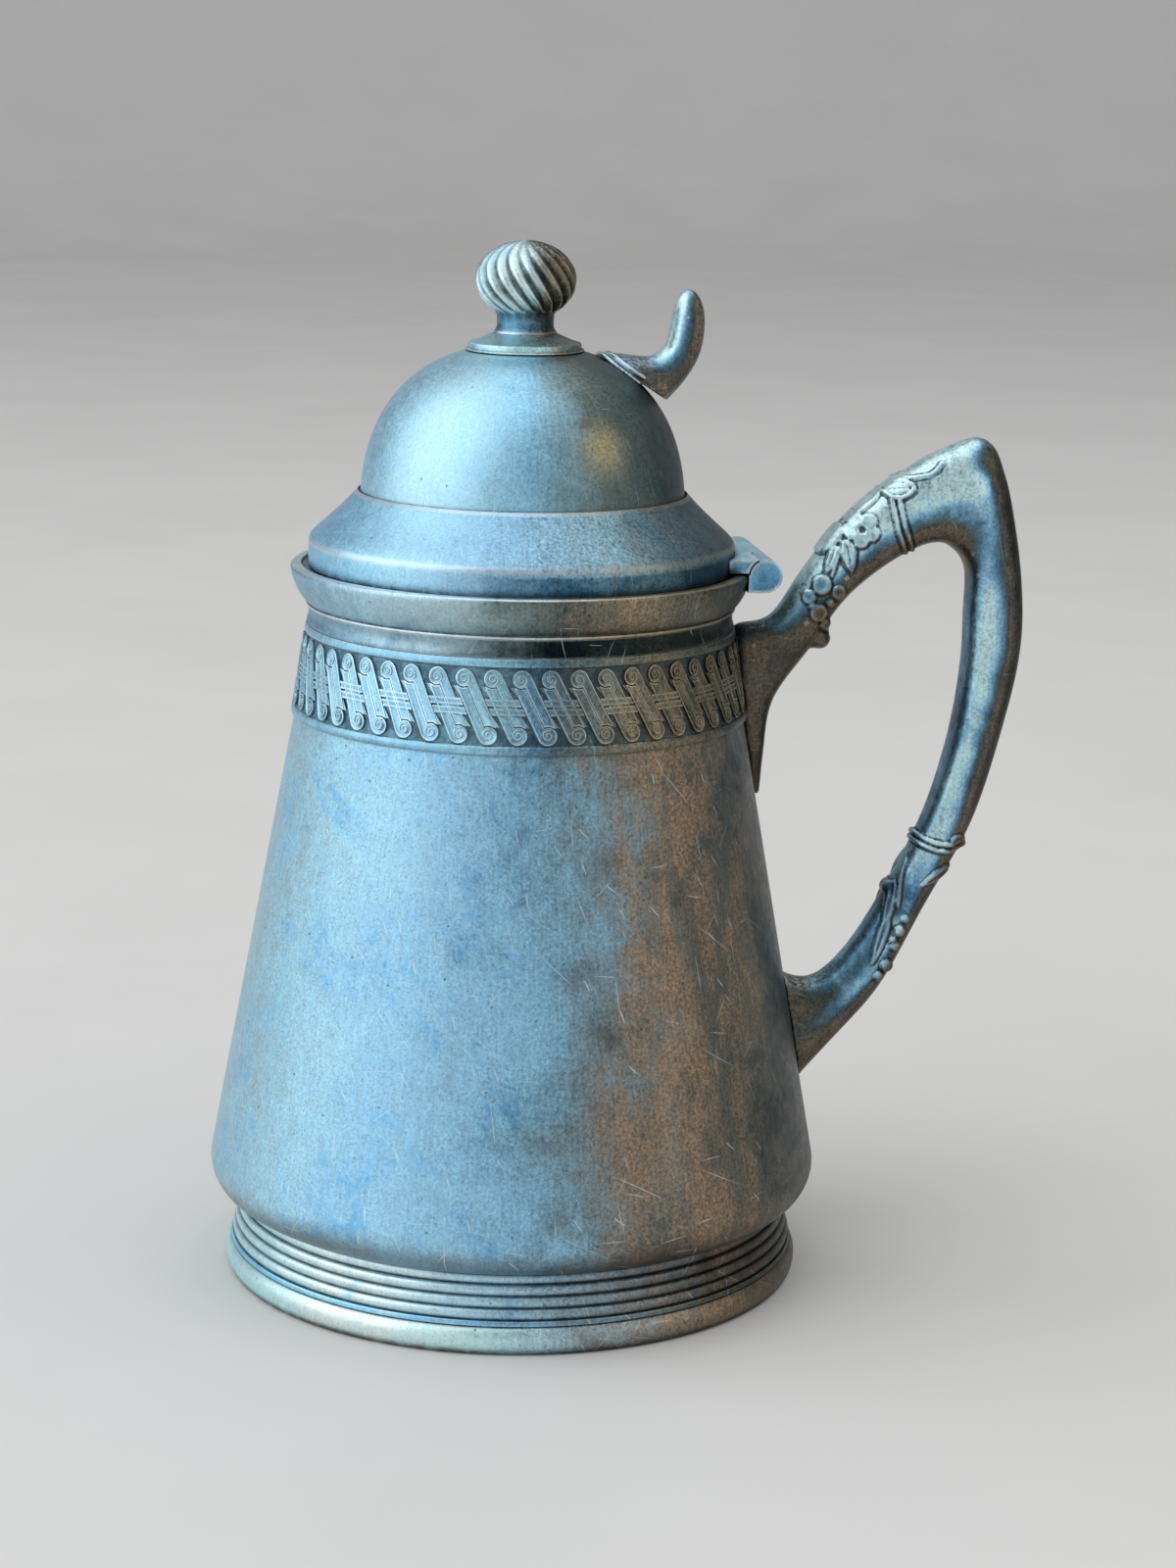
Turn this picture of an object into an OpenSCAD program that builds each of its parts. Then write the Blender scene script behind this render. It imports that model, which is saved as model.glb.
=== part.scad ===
// Lidded syrup pitcher in plated white metal: a tapered body on a reeded foot, a strapwork
// band at the neck, a hinged domed lid with thumb lift and finial, and a cast scroll handle.
// Millimetres, +Z up, standing on z = 0, handle towards +X.

/* [Foot] */
// Widest diameter of the foot, over the bead it stands on
foot_d = 100; // [90:0.5:110]
// Height from the table to the underside of the body
foot_h = 13.4; // [11:0.1:16]
// Diameter of the foot under the body, over the top reed
foot_top_d = 94.4; // [88:0.2:98]
// Height of the bead
bead_h = 4.8; // [3.6:0.1:6]
// Depth of the bead from its rounded front to the foot wall behind it
bead_t = 2.6; // [2:0.1:3.4]
// How far the foot wall stays above the table
foot_lift = 0.4; // [0.2:0.1:0.8]
// Number of reeds round the foot
reed_count = 4; // [2:1:6]
// How far a reed swells out of the foot
reed_swell = 0.55; // [0.2:0.05:0.8]

/* [Body] */
// Widest diameter of the body, just above the foot
body_d = 105.4; // [100:0.2:112]
// Radius of the rounded lower edge
body_round = 6; // [4:0.2:8]
// Diameter of the taper where the ornament band starts
taper_top_d = 76.6; // [72:0.2:80]
// Height of the lower edge of the ornament band
band_z = 98; // [85:0.5:110]
// Thickness of the spun sheet metal
wall = 1.2; // [0.9:0.1:1.5]
// Width of the flange turned in under the bottom disc
turn_in = 5; // [3:0.5:8]
// How far the edge of the bottom disc stays inside the rounded edge
disc_inset = 1; // [0.5:0.1:2]
// Thickness of the bottom disc
disc_t = 1.2; // [0.8:0.1:2]

/* [Ornament band] */
// Height of the band
band_h = 15.3; // [12:0.1:18]
// How far the band stands proud of the taper at its lower edge
band_proud = 0.65; // [0.5:0.05:1.2]
// How much further it stands proud at its upper edge
band_lean = 0.35; // [0:0.05:0.6]
// Height of the plain fillet along each edge
fillet_h = 1.4; // [0.8:0.1:2]
// Depth of the ground below the fillets
ground_depth = 0.35; // [0.2:0.05:0.4]
// Number of upper straps round the band, with as many lower ones between them
strap_count = 25; // [18:1:27]
// Width of a strap
strap_w = 3.3; // [2.4:0.1:3.5]
// Lean of the straps from upright
strap_lean = 26; // [0:1:30]
// Height of the upper straps over the ground
strap_rise = 0.46; // [0.4:0.02:0.6]
// How far the lower straps lie below the upper ones
strap_under = 0.14; // [0.1:0.02:0.2]
// Width of the groove along the middle of a strap, and of the gaps at its ends
strap_groove = 0.3; // [0.2:0.05:0.4]
// Height of each of the two hoops that tie the lower straps
hoop_h = 1; // [0.6:0.1:1.2]
// Distance between the middles of the two hoops
hoop_step = 1.6; // [1.4:0.1:2.2]

/* [Rim collar] */
// Height of the collar from the band to the lip
collar_h = 10.1; // [8.5:0.1:13]
// Height of the plain neck below the swelling
neck_h = 3.5; // [2:0.1:4.5]
// Thickness of the collar at its neck
collar_wall = 0.75; // [0.6:0.05:1.2]
// Depth of the hollow along the neck
cove = 0.15; // [0.05:0.05:0.3]
// How far the lip stands out from the neck
lip_out = 3.6; // [3:0.1:5]
// Rounding of the lip
lip_round = 0.7; // [0.4:0.1:1]
// How far the seat for the lid lies below the lip
seat_drop = 0.5; // [0.3:0.1:1]
// Clearance round the lid in its seat
seat_clear = 1; // [0.6:0.1:1.4]

/* [Lid] */
// How far the upright edge of the lid stands out from the neck
lid_out = 0.6; // [0.3:0.1:0.9]
// Height of the upright edge
lid_edge_h = 4.2; // [3.8:0.1:6]
// Diameter of the crease between the sloping skirt and the dome
crease_d = 54.8; // [48:0.2:58]
// Width of the step at the crease
crease_w = 0.3; // [0.2:0.05:0.6]
// Height of the sloping skirt
skirt_h = 8.5; // [6:0.1:11]
// Height of the dome above the crease
dome_h = 24.8; // [20:0.2:28]
// Width of the ledge inside the skirt that carries the dome
dome_ledge = 2.6; // [1.5:0.1:4]
// Depth of the bezel ring below the seat
bezel_depth = 4; // [2:0.2:6]
// Height of the flange of the bezel above the lower edge of the lid
bezel_rise = 0.2; // [0.1:0.1:1]
// Clearance between the bezel and the mouth
bezel_gap = 0.9; // [0.5:0.1:1.4]
// Clearance between the closed lid and its seat
lid_gap = 0.2; // [0.1:0.05:0.3]

/* [Hinge] */
// Distance of the pin from the upright edge of the lid
pin_out = 3.6; // [3.5:0.1:4.6]
// Depth of the pin below the lip
pin_drop = 0.2; // [0:0.1:0.6]
// How far the ends of the pin lie inside the hinge
pin_inset = 0.2; // [0:0.1:1]
// Diameter of the pin
pin_d = 1.8; // [1.2:0.1:2.4]
// Running clearance round the pin, on the radius
pin_gap = 0.05; // [0.02:0.01:0.1]
// Radius of a knuckle
knuckle_r = 2.8; // [2.4:0.1:3]
// Clearance between a knuckle and the other leaf
knuckle_gap = 0.25; // [0.15:0.05:0.4]
// Width of the hinge across the lid
hinge_w = 28; // [22:0.5:30]
// Width of the middle knuckle
mid_knuckle_w = 10; // [6:0.5:14]
// Clearance between the two leaves where they lie on each other
leaf_gap = 0.3; // [0.2:0.05:0.5]

/* [Thumb lift] */
// Height of the tip above the dome where the lift is soldered
lift_h = 15.5; // [12:0.5:20]
// How far the tip of the horn leans out from the seat
lift_reach = 8.4; // [6.4:0.2:10]
// Length of the leaf from the seat to its point
lift_leaf = 8.3; // [7:0.1:9.4]
// Rise of the leaf's upper side over the seat
lift_rise = 4.5; // [3.6:0.1:5.4]
// Slope of the underside where it stands clear of the dome
lift_under = 33; // [28:1:38]
// Width of the leaf that lies on the dome
lift_foot_w = 11; // [8:0.5:14]
// Width of the horn near its tip
lift_tip_w = 6.4; // [4:0.2:8]

/* [Finial] */
// Diameter of the plate on the dome
plate_d = 20; // [16:0.5:24]
// Thickness of the plate in the middle
plate_t = 1.7; // [1.4:0.1:2.4]
// Thickness of the plate at its outer edge, and its step
plate_edge = 0.5; // [0.3:0.1:0.8]
// Height of the plate's upright rim over that edge
plate_rim = 1.3; // [1:0.1:1.5]
// Diameter of the neck between plate and knob
neck_d = 9.8; // [8:0.1:12]
// Height of that neck
neck_rise = 3.6; // [2.5:0.1:5]
// Diameter of the fluted knob
knob_d = 17; // [14:0.2:20]
// Height of the fluted knob
knob_h = 11.7; // [10:0.1:14]
// Number of flutes
flutes = 18; // [12:1:24]
// Turn of a flute from the bottom of the knob to its top
flute_turn = 62; // [0:1:90]
// Depth of a flute as a part of the radius
flute_depth = 0.13; // [0.04:0.01:0.16]
// Diameter of the threaded stud
stud_d = 3; // [2.4:0.1:4]
// Length of the stud inside the knob
stud_in_knob = 7; // [5:0.5:8]
// Length of the stud below the nut
stud_tail = 1.2; // [0.5:0.1:2.5]
// Width of the nut across its flats
nut_w = 6; // [5:0.1:8]
// Thickness of the nut
nut_t = 2.4; // [1.8:0.1:3.2]
// Diameter of the washer under the nut
washer_d = 9; // [8:0.5:12]
// Thickness of the washer
washer_t = 0.8; // [0.5:0.1:1.2]

/* [Handle] */
// Reach of the grip from the neck of the body
handle_reach = 52.3; // [46:0.1:58]
// Thickness of the grip, seen from the side
grip_t = 10.2; // [8:0.2:12]
// Width of the grip, seen from behind
grip_w = 9.4; // [7:0.2:12]
// Shape of the grip's section: 1 for an oval, less for flatter sides
grip_square = 0.76; // [0.65:0.01:1]
// Height of the crest above the lip
crest_rise = 21.8; // [18:0.2:26]
// Height of the middle of the lower root
root_z = 41.3; // [37:0.1:48]
// Clearance between the handle and the collar above its root
collar_clear = 0.3; // [0.2:0.05:0.6]
// Distance from the lip down to the tip of the tongue on the body
tongue_drop = 40.2; // [34:0.2:44]

/* [Joints] */
// Thickness of a solder seam
seam = 0.05; // [0.02:0.01:0.1]

/* [Hidden] */
$fn = 96;
plate_grey = [0.58, 0.57, 0.54];
worn_grey = [0.66, 0.64, 0.59];
tarnish_brown = [0.50, 0.46, 0.38];
dark_metal = [0.36, 0.34, 0.31];

// Angle of the first upper strap
strap_start = -93.2;

// Body taper: a straight line that leaves the rounded lower edge as its tangent
body_r = body_d / 2;
taper_top = [taper_top_d / 2, band_z];
round_c = [body_r - body_round, foot_h + body_round];
to_top = taper_top - round_c;
taper_a = atan2(to_top[1], to_top[0]) - acos(body_round / norm(to_top));
slope = tan(taper_a);
neck_z = band_z + band_h;
neck_r = taper_top[0] - slope * band_h;
lip_z = neck_z + collar_h;
seat_z = lip_z - seat_drop;

// Lid heights
lid_z = seat_z + lid_gap;
edge_z = lid_z + lid_edge_h;
crease_z = edge_z + skirt_h;
lid_r = neck_r + lid_out;
crease_r = crease_d / 2;
dome_z = crease_z + seam;
dome_top_z = dome_z + dome_h;
// Shape of the dome's side, as shares of its radius and height
shoulder = [0.956, 0.665];
crown = 0.584;

// Hinge: the collar is cut flat across its back, and the block is soldered to that flat
lip_r = neck_r + lip_out;
pin_x = lid_r + pin_out;
pin_z = lip_z - pin_drop;
flat_x = pin_x - knuckle_r - knuckle_gap;
block_z = pin_z - knuckle_r;

// Finial heights
plate_top_z = dome_top_z + plate_t;
knob_z = plate_top_z + seam + neck_rise;
washer_z = dome_top_z - wall - seam - dome_fall(washer_d / 2) - washer_t;
nut_z = washer_z - seam - nut_t;
stud_hole_r = stud_d / 2 + seam;
// Angles at which the knob's round starts and ends, and the power by which its flutes bend
knob_low_a = -52;
knob_top_a = 84;
flute_bend = 1.6;

// Radius of the side of the body at height z
function side_r(z) = max(neck_r, taper_top[0] + (band_z - z) * slope);

// Points along an arc about c from angle a to angle b
function arc(c, r, a, b, n = 8) = [
    for (i = [0:n]) c + r * [cos(a + (b - a) * i / n), sin(a + (b - a) * i / n)]
];

// Point at t on a cubic curve with control points p
function cubic(p, t) =
    pow(1 - t, 3) * p[0] + 3 * t * pow(1 - t, 2) * p[1] + 3 * t * t * (1 - t) * p[2] + pow(t, 3) * p[3];

// Points along that curve
function curve(p, n = 12) = [for (i = [0:n]) cubic(p, i / n)];

// Value at t between b and c on a smooth line through a, b, c and d
function spline(a, b, c, d, t) = b + 0.5 * t * (c - a
    + t * (2 * a - 5 * b + 4 * c - d + t * (3 * (b - c) + d - a)));

// Smooth line through the stations in list s, n steps between neighbours
function through(s, n) = let (last = len(s) - 1) [
    for (i = [0:last - 1], k = [0:n - 1])
        spline(s[max(0, i - 1)], s[i], s[i + 1], s[min(last, i + 2)], k / n),
    s[last]
];

// Points of list p in the opposite order
function back(p) = [for (i = [len(p) - 1:-1:0]) p[i]];

module turned(outline) {
    rotate_extrude() polygon(outline);
}

// Upright plate: an outline in the XZ plane, width w along Y, centred
module slab(w) {
    rotate([90, 0, 0]) translate([0, 0, -w / 2]) linear_extrude(w) children();
}

// Solid tapered form of the body and band, grown by g, for cutting what is soldered to it
module body_form(g) {
    turned([
        [0, foot_h], [round_c[0], foot_h],
        each arc(round_c, body_round + g, -90, taper_a),
        [taper_top[0] + g, band_z - g],
        [taper_top[0] + band_proud + g, band_z - g],
        [neck_r + band_proud + band_lean + g, neck_z + g],
        [neck_r + g, neck_z + g],
        [neck_r + g, lip_z], [0, lip_z]
    ]);
}

// Side of the dome: near upright at the crease, full at the shoulder, level at the top
function dome_curve(r, h) = [[r, 0], [shoulder[0] * r, shoulder[1] * h], [crown * r, h], [0, h]];

// How far the dome falls from its top at radius r, near its top
function dome_fall(r) = (1 - shoulder[1]) * dome_h / 3 * pow(r / (crown * crease_r), 2);

// Solid form of the dome grown by g
module dome_form(g) {
    translate([0, 0, dome_z]) turned([[0, -g], each curve(dome_curve(crease_r + g, dome_h + g))]);
}

module body_shell() {
    inner_top = taper_top - wall * [cos(taper_a), sin(taper_a)];
    mouth_r = neck_r - wall;
    color(plate_grey) turned([
        [round_c[0] - turn_in, foot_h],
        each arc(round_c, body_round, -90, taper_a),
        [neck_r, neck_z],
        [neck_r, seat_z],
        [mouth_r, seat_z],
        [mouth_r, inner_top[1] + (inner_top[0] - mouth_r) / slope],
        each arc(round_c, body_round - wall, taper_a, -90),
        [round_c[0] - turn_in, foot_h + wall]
    ]);
}

module bottom_disc() {
    color(dark_metal) translate([0, 0, foot_h + wall + seam])
        cylinder(h = disc_t, r = round_c[0] - disc_inset);
}

module foot_ring() {
    wall_r = foot_d / 2 - bead_t - seam;
    top_r = foot_top_d / 2 - reed_swell;
    low_r = wall_r + wall;
    low_z = bead_h + seam;
    step_h = 0.9;
    reed_h = (foot_h - seam - low_z - step_h) / reed_count;
    function reed(i) =
        let (z = foot_h - seam - (i + 0.5) * reed_h, r = top_r + (low_r - top_r) * (i + 0.5) / reed_count)
        [for (a = [75:-15:-75]) [r + reed_swell * cos(a), z + reed_h / 2 * sin(a)]];
    color(worn_grey) turned([
        [round_c[0] - turn_in, foot_h - seam],
        for (i = [0:reed_count - 1]) each reed(i),
        [low_r + reed_swell, low_z + step_h],
        [low_r + reed_swell, low_z],
        [wall_r, low_z],
        [wall_r, foot_lift],
        [wall_r - wall, foot_lift],
        [wall_r - wall, low_z],
        [top_r - wall, foot_h - seam - wall],
        [round_c[0] - turn_in, foot_h - seam - wall]
    ]);
}

module foot_bead() {
    back_r = foot_d / 2 - bead_t;
    bulge = bead_t / 2;
    color(worn_grey) turned([
        [back_r, 0],
        for (a = [-90:15:90]) [foot_d / 2 - bulge + bulge * cos(a), bead_h / 2 * (1 + sin(a))],
        [back_r, bead_h]
    ]);
}

module ornament_band() {
    low = taper_top + [band_proud, 0];
    high = [neck_r + band_proud + band_lean, neck_z];
    mid_z = band_z + band_h / 2;
    ground_low = band_z + fillet_h;
    ground_high = neck_z - fillet_h;
    hoop_rise = strap_rise - strap_under / 2;
    // Distance from the middle of a strap to the middle of its rounded ends
    reach = (band_h / 2 - fillet_h - strap_w / 2 - strap_groove / 2) / cos(strap_lean);
    function face(z) = low + (high - low) * (z - band_z) / band_h;
    function over_ground(z, h) = face(z) + [h - ground_depth, 0];
    function hoop(z) = [
        for (p = [[-0.5, 0], [-0.4, 1], [0.4, 1], [0.5, 0]]) over_ground(z + p[0] * hoop_h, p[1] * hoop_rise)
    ];
    // Ring that holds the straps, from inside the ground to the height h over it
    module strap_layer(h) {
        root = (ground_depth + seam - band_proud) / 2;
        turned([
            over_ground(ground_low, root),
            over_ground(ground_low, h),
            over_ground(ground_high, h),
            over_ground(ground_high, root)
        ]);
    }
    module strap_outline() {
        difference() {
            union() {
                square([strap_w, 2 * reach], center = true);
                for (end = [-1, 1]) translate([0, end * reach]) circle(strap_w / 2);
            }
            square([strap_groove, 2 * reach - 0.8 * strap_w], center = true);
        }
    }
    // All straps of one height, the first of them turned by the angle a
    module straps(h, a) {
        inner_r = neck_r - wall;
        intersection() {
            strap_layer(h);
            for (i = [0:strap_count - 1]) rotate([90, 0, 90 + a + 360 * i / strap_count])
                translate([0, mid_z, inner_r]) linear_extrude(lip_r - inner_r)
                    rotate(strap_lean) strap_outline();
        }
    }
    color(plate_grey) {
        turned([
            taper_top + [seam, 0],
            low,
            face(ground_low),
            over_ground(ground_low, 0),
            each hoop(mid_z - hoop_step / 2),
            each hoop(mid_z + hoop_step / 2),
            over_ground(ground_high, 0),
            face(ground_high),
            high,
            [neck_r + seam, neck_z]
        ]);
        straps(strap_rise, strap_start);
        straps(strap_rise - strap_under, strap_start + 180 / strap_count);
    }
}

// Outer outline of the collar from its foot to the lip, grown by g
function collar_edge(g) =
    let (
        r = neck_r + collar_wall + g,
        edge_r = lip_r + g,
        foot_z = neck_z + seam,
        swell_z = foot_z + neck_h,
        swell_h = lip_z - lip_round - swell_z
    )
    [
        [r, foot_z],
        [r - cove, foot_z + neck_h / 2],
        each curve([
            [r, swell_z],
            [r + 0.35 * (edge_r - r), swell_z + 0.1 * swell_h],
            [edge_r - 0.1 * lip_out, swell_z + 0.55 * swell_h],
            [edge_r, swell_z + swell_h]
        ]),
        [edge_r - 0.3 * lip_round, lip_z - 0.3 * lip_round],
        [edge_r - lip_round, lip_z]
    ];

module rim_collar() {
    color(plate_grey) difference() {
        turned([
            [neck_r + seam, neck_z + seam],
            each collar_edge(0),
            [lid_r + seat_clear + seat_drop / 2, lip_z],
            [lid_r + seat_clear, seat_z],
            [neck_r + seam, seat_z]
        ]);
        translate([flat_x, -hinge_w / 2 - seam, block_z - seam])
            cube([lip_r, hinge_w + 2 * seam, collar_h]);
    }
}

module lid_skirt() {
    run = lid_r - crease_r - crease_w;
    slant = [
        [lid_r, edge_z],
        [lid_r, edge_z + 0.16 * skirt_h],
        [lid_r - 0.42 * run, edge_z + 0.36 * skirt_h],
        [lid_r - run, crease_z]
    ];
    inward = wall * [cos(45), sin(45)];
    color(plate_grey) turned([
        [lid_r, lid_z],
        each curve(slant),
        [crease_r - dome_ledge, crease_z],
        [crease_r - dome_ledge, crease_z - wall],
        each back(curve([for (p = slant) p - inward])),
        [lid_r - wall, edge_z - wall],
        [lid_r - wall, lid_z]
    ]);
}

module lid_dome() {
    outer = curve(dome_curve(crease_r, dome_h));
    inner = curve(dome_curve(crease_r - wall, dome_h - wall));
    color(plate_grey) translate([0, 0, dome_z]) difference() {
        turned([each outer, each back(inner)]);
        cylinder(h = 2 * dome_h, r = stud_hole_r);
    }
}

module lid_bezel() {
    ring_r = neck_r - wall - bezel_gap;
    flange_r = lid_r - wall - seam;
    flange_z = lid_z + bezel_rise;
    color(tarnish_brown) turned([
        [ring_r, seat_z - bezel_depth],
        [ring_r, flange_z],
        [flange_r, flange_z],
        [flange_r, flange_z + wall],
        [ring_r - wall, flange_z + wall],
        [ring_r - wall, seat_z - bezel_depth]
    ]);
}

// Strip of hinge between the distances a and b from the middle, on both sides
module both_ends(a, b) {
    for (side = [-1, 1]) translate([0, side * (a + b) / 2, 0]) slab(b - a) children();
}

// Outline of the knuckle in the XZ plane, grown by g
module knuckle(g = 0) {
    translate([pin_x, pin_z]) circle(knuckle_r + g);
}

module pin_hole() {
    slab(2 * hinge_w) translate([pin_x, pin_z]) circle(pin_d / 2 + pin_gap);
}

module hinge_block() {
    side_w = mid_knuckle_w / 2 + knuckle_gap;
    inner_x = flat_x + seam;
    module arm() translate([inner_x, block_z]) square([pin_x - inner_x, lip_z - block_z]);
    color(worn_grey) difference() {
        union() {
            both_ends(side_w, hinge_w / 2) {
                arm();
                knuckle();
            }
            slab(2 * side_w) difference() {
                arm();
                knuckle(knuckle_gap);
            }
        }
        pin_hole();
    }
}

module hinge_leaf() {
    low_z = lip_z + leaf_gap;
    top_z = pin_z + knuckle_r;
    inner_x = lid_r - hinge_w * hinge_w / 6 / lid_r;
    module arm() translate([inner_x, low_z]) square([pin_x - inner_x, top_z - low_z]);
    color(worn_grey) difference() {
        union() {
            slab(mid_knuckle_w) {
                arm();
                knuckle();
            }
            both_ends(mid_knuckle_w / 2, hinge_w / 2) difference() {
                arm();
                knuckle(knuckle_gap);
            }
        }
        pin_hole();
        translate([0, 0, neck_z]) cylinder(h = crease_z - neck_z, r = lid_r + seam);
    }
}

module hinge_pin() {
    color(dark_metal) slab(hinge_w - 2 * pin_inset) translate([pin_x, pin_z]) circle(pin_d / 2);
}

// A station of a curved bar is its inner edge and its outer edge in the XZ plane, and its half width
function station(inner, outer, half_w) = [inner[0], inner[1], outer[0], outer[1], half_w];

// Value v between -1 and 1 with its size raised to the power p
function raised(v, p) = sign(v) * pow(abs(v), p);

// Ring of n points at a station: an oval for a power p of 1, squarer for less
function oval_ring(s, n, p) =
    let (mid = [s[0] + s[2], s[1] + s[3]] / 2, half = [s[2] - s[0], s[3] - s[1]] / 2)
    [
        for (i = [0:n - 1])
            let (a = 360 * i / n, at = mid + half * raised(cos(a), p))
            [at[0], s[4] * raised(sin(a), p), at[1]]
    ];

// Solid through a row of rings with the same number of points
module rings_to_solid(rings) {
    n = len(rings[0]);
    last = len(rings) - 1;
    polyhedron(
        points = [for (ring = rings) each ring],
        faces = [
            [for (i = [0:n - 1]) i],
            for (k = [0:last - 1], i = [0:n - 1]) each
                let (a = k * n + i, b = k * n + (i + 1) % n)
                [[a, a + n, b], [b, a + n, b + n]],
            [for (i = [n - 1:-1:0]) last * n + i]
        ]
    );
}

// Curved bar through its stations
module cast_bar(stations, steps, sides, power = 1) {
    rings_to_solid([for (s = through(stations, steps)) oval_ring(s, sides, power)]);
}

// The lift is a leaf that lies on the dome and turns up into a horn
module thumb_lift() {
    seat = [0, dome_z] + cubic(dome_curve(crease_r, dome_h), 0.5);
    foot = lift_foot_w / 2;
    horn = lift_tip_w / 2;
    // Points of the leaf, in shares of its length and rise, and of the horn, in shares of its
    // reach and height
    function leaf(u, v) = seat + [u * lift_leaf, v * lift_rise];
    function horn_at(u, v) = seat + [u * lift_reach, v * lift_h];
    color(plate_grey) difference() {
        cast_bar([
            station(leaf(-0.95, 0.96), leaf(-1, 0.76), 0.2 * foot),
            station(leaf(-0.67, 1.09), leaf(-0.77, 0.13), 0.6 * foot),
            station(leaf(-0.17, 1), leaf(-0.29, -0.62), foot),
            station(leaf(0.27, 0.98), leaf(0.41, -0.93), 0.85 * foot),
            station(leaf(0.53, 1.4), leaf(0.96, 0), 1.1 * horn),
            station(horn_at(0.62, 0.6), horn_at(1.27, 0.31), horn),
            station(horn_at(0.69, 0.81), horn_at(1.345, 0.665), 0.95 * horn),
            station(horn_at(0.81, 0.95), horn_at(1.25, 0.88), 0.7 * horn),
            station(horn_at(0.94, 1), horn_at(1.11, 0.98), 0.3 * horn)
        ], 3, 14);
        dome_form(seam);
        translate([seat[0], 0, seat[1]]) rotate([0, lift_under, 0])
            translate([0, -lift_foot_w, -lift_h]) cube([2 * lift_leaf, 2 * lift_foot_w, lift_h]);
    }
}

module finial_plate() {
    r = plate_d / 2;
    step_z = dome_top_z - dome_fall(r) + plate_edge;
    color(plate_grey) difference() {
        turned([
            [0, dome_z],
            [r, dome_z],
            [r, step_z],
            [r - plate_edge, step_z + plate_edge / 2],
            [r - plate_edge, step_z + plate_rim - plate_edge / 2],
            [r - 1.5 * plate_edge, step_z + plate_rim],
            [neck_d / 2 + plate_edge, plate_top_z],
            [0, plate_top_z]
        ]);
        dome_form(seam);
        cylinder(h = plate_top_z + 1, r = stud_hole_r);
    }
}

// Ring of the knob at a given share of its height, waved by the flutes, which turn most near the neck
function knob_ring(u, n) =
    let (
        a = knob_low_a + (knob_top_a - knob_low_a) * u,
        z = knob_z + knob_h * (sin(a) - sin(knob_low_a)) / (sin(knob_top_a) - sin(knob_low_a)),
        turn = flute_turn * pow(1 - u, flute_bend)
    )
    [
        for (i = [0:n - 1])
            let (
                t = 360 * i / n,
                r = knob_d / 2 * cos(a) * (1 - flute_depth * (1 - abs(sin(flutes / 2 * t))))
            )
            [r * cos(t + turn), r * sin(t + turn), z]
    ];

// Plain ring of n points with radius r at height z
function round_ring(r, z, n) = [for (i = [0:n - 1]) [r * cos(360 * i / n), r * sin(360 * i / n), z]];

module finial_knob() {
    rows = 12;
    sides = 5 * flutes;
    flare = 0.4;
    foot_z = plate_top_z + seam;
    color(worn_grey) difference() {
        rings_to_solid([
            round_ring(neck_d / 2 + flare, foot_z, sides),
            round_ring(neck_d / 2, foot_z + 2 * flare, sides),
            round_ring(neck_d / 2 - flare / 2, knob_z - flare, sides),
            for (k = [0:rows]) knob_ring(k / rows, sides)
        ]);
        translate([0, 0, foot_z - 1]) cylinder(h = stud_in_knob + 1, r = stud_hole_r);
    }
}

module finial_stud() {
    low_z = nut_z - stud_tail;
    color(dark_metal) translate([0, 0, low_z])
        cylinder(h = plate_top_z + stud_in_knob - low_z - seam, r = stud_d / 2);
}

module finial_washer() {
    color(dark_metal) translate([0, 0, washer_z]) difference() {
        cylinder(h = washer_t, r = washer_d / 2);
        translate([0, 0, -1]) cylinder(h = washer_t + 2, r = stud_hole_r);
    }
}

module finial_nut() {
    color(dark_metal) translate([0, 0, nut_z]) difference() {
        cylinder(h = nut_t, r = nut_w / sqrt(3), $fn = 6);
        translate([0, 0, -1]) cylinder(h = nut_t + 2, r = stud_hole_r);
    }
}

// Points of the handle: on its upper arm and grip, by the share u of the reach from the neck and
// the height over the lip, and on its lower arm, from the side of the body at height z
function from_lip(reach, u, dz) = [neck_r + u * reach, lip_z + dz];
function from_side(dx, z) = [side_r(z) + dx, z];

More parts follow.
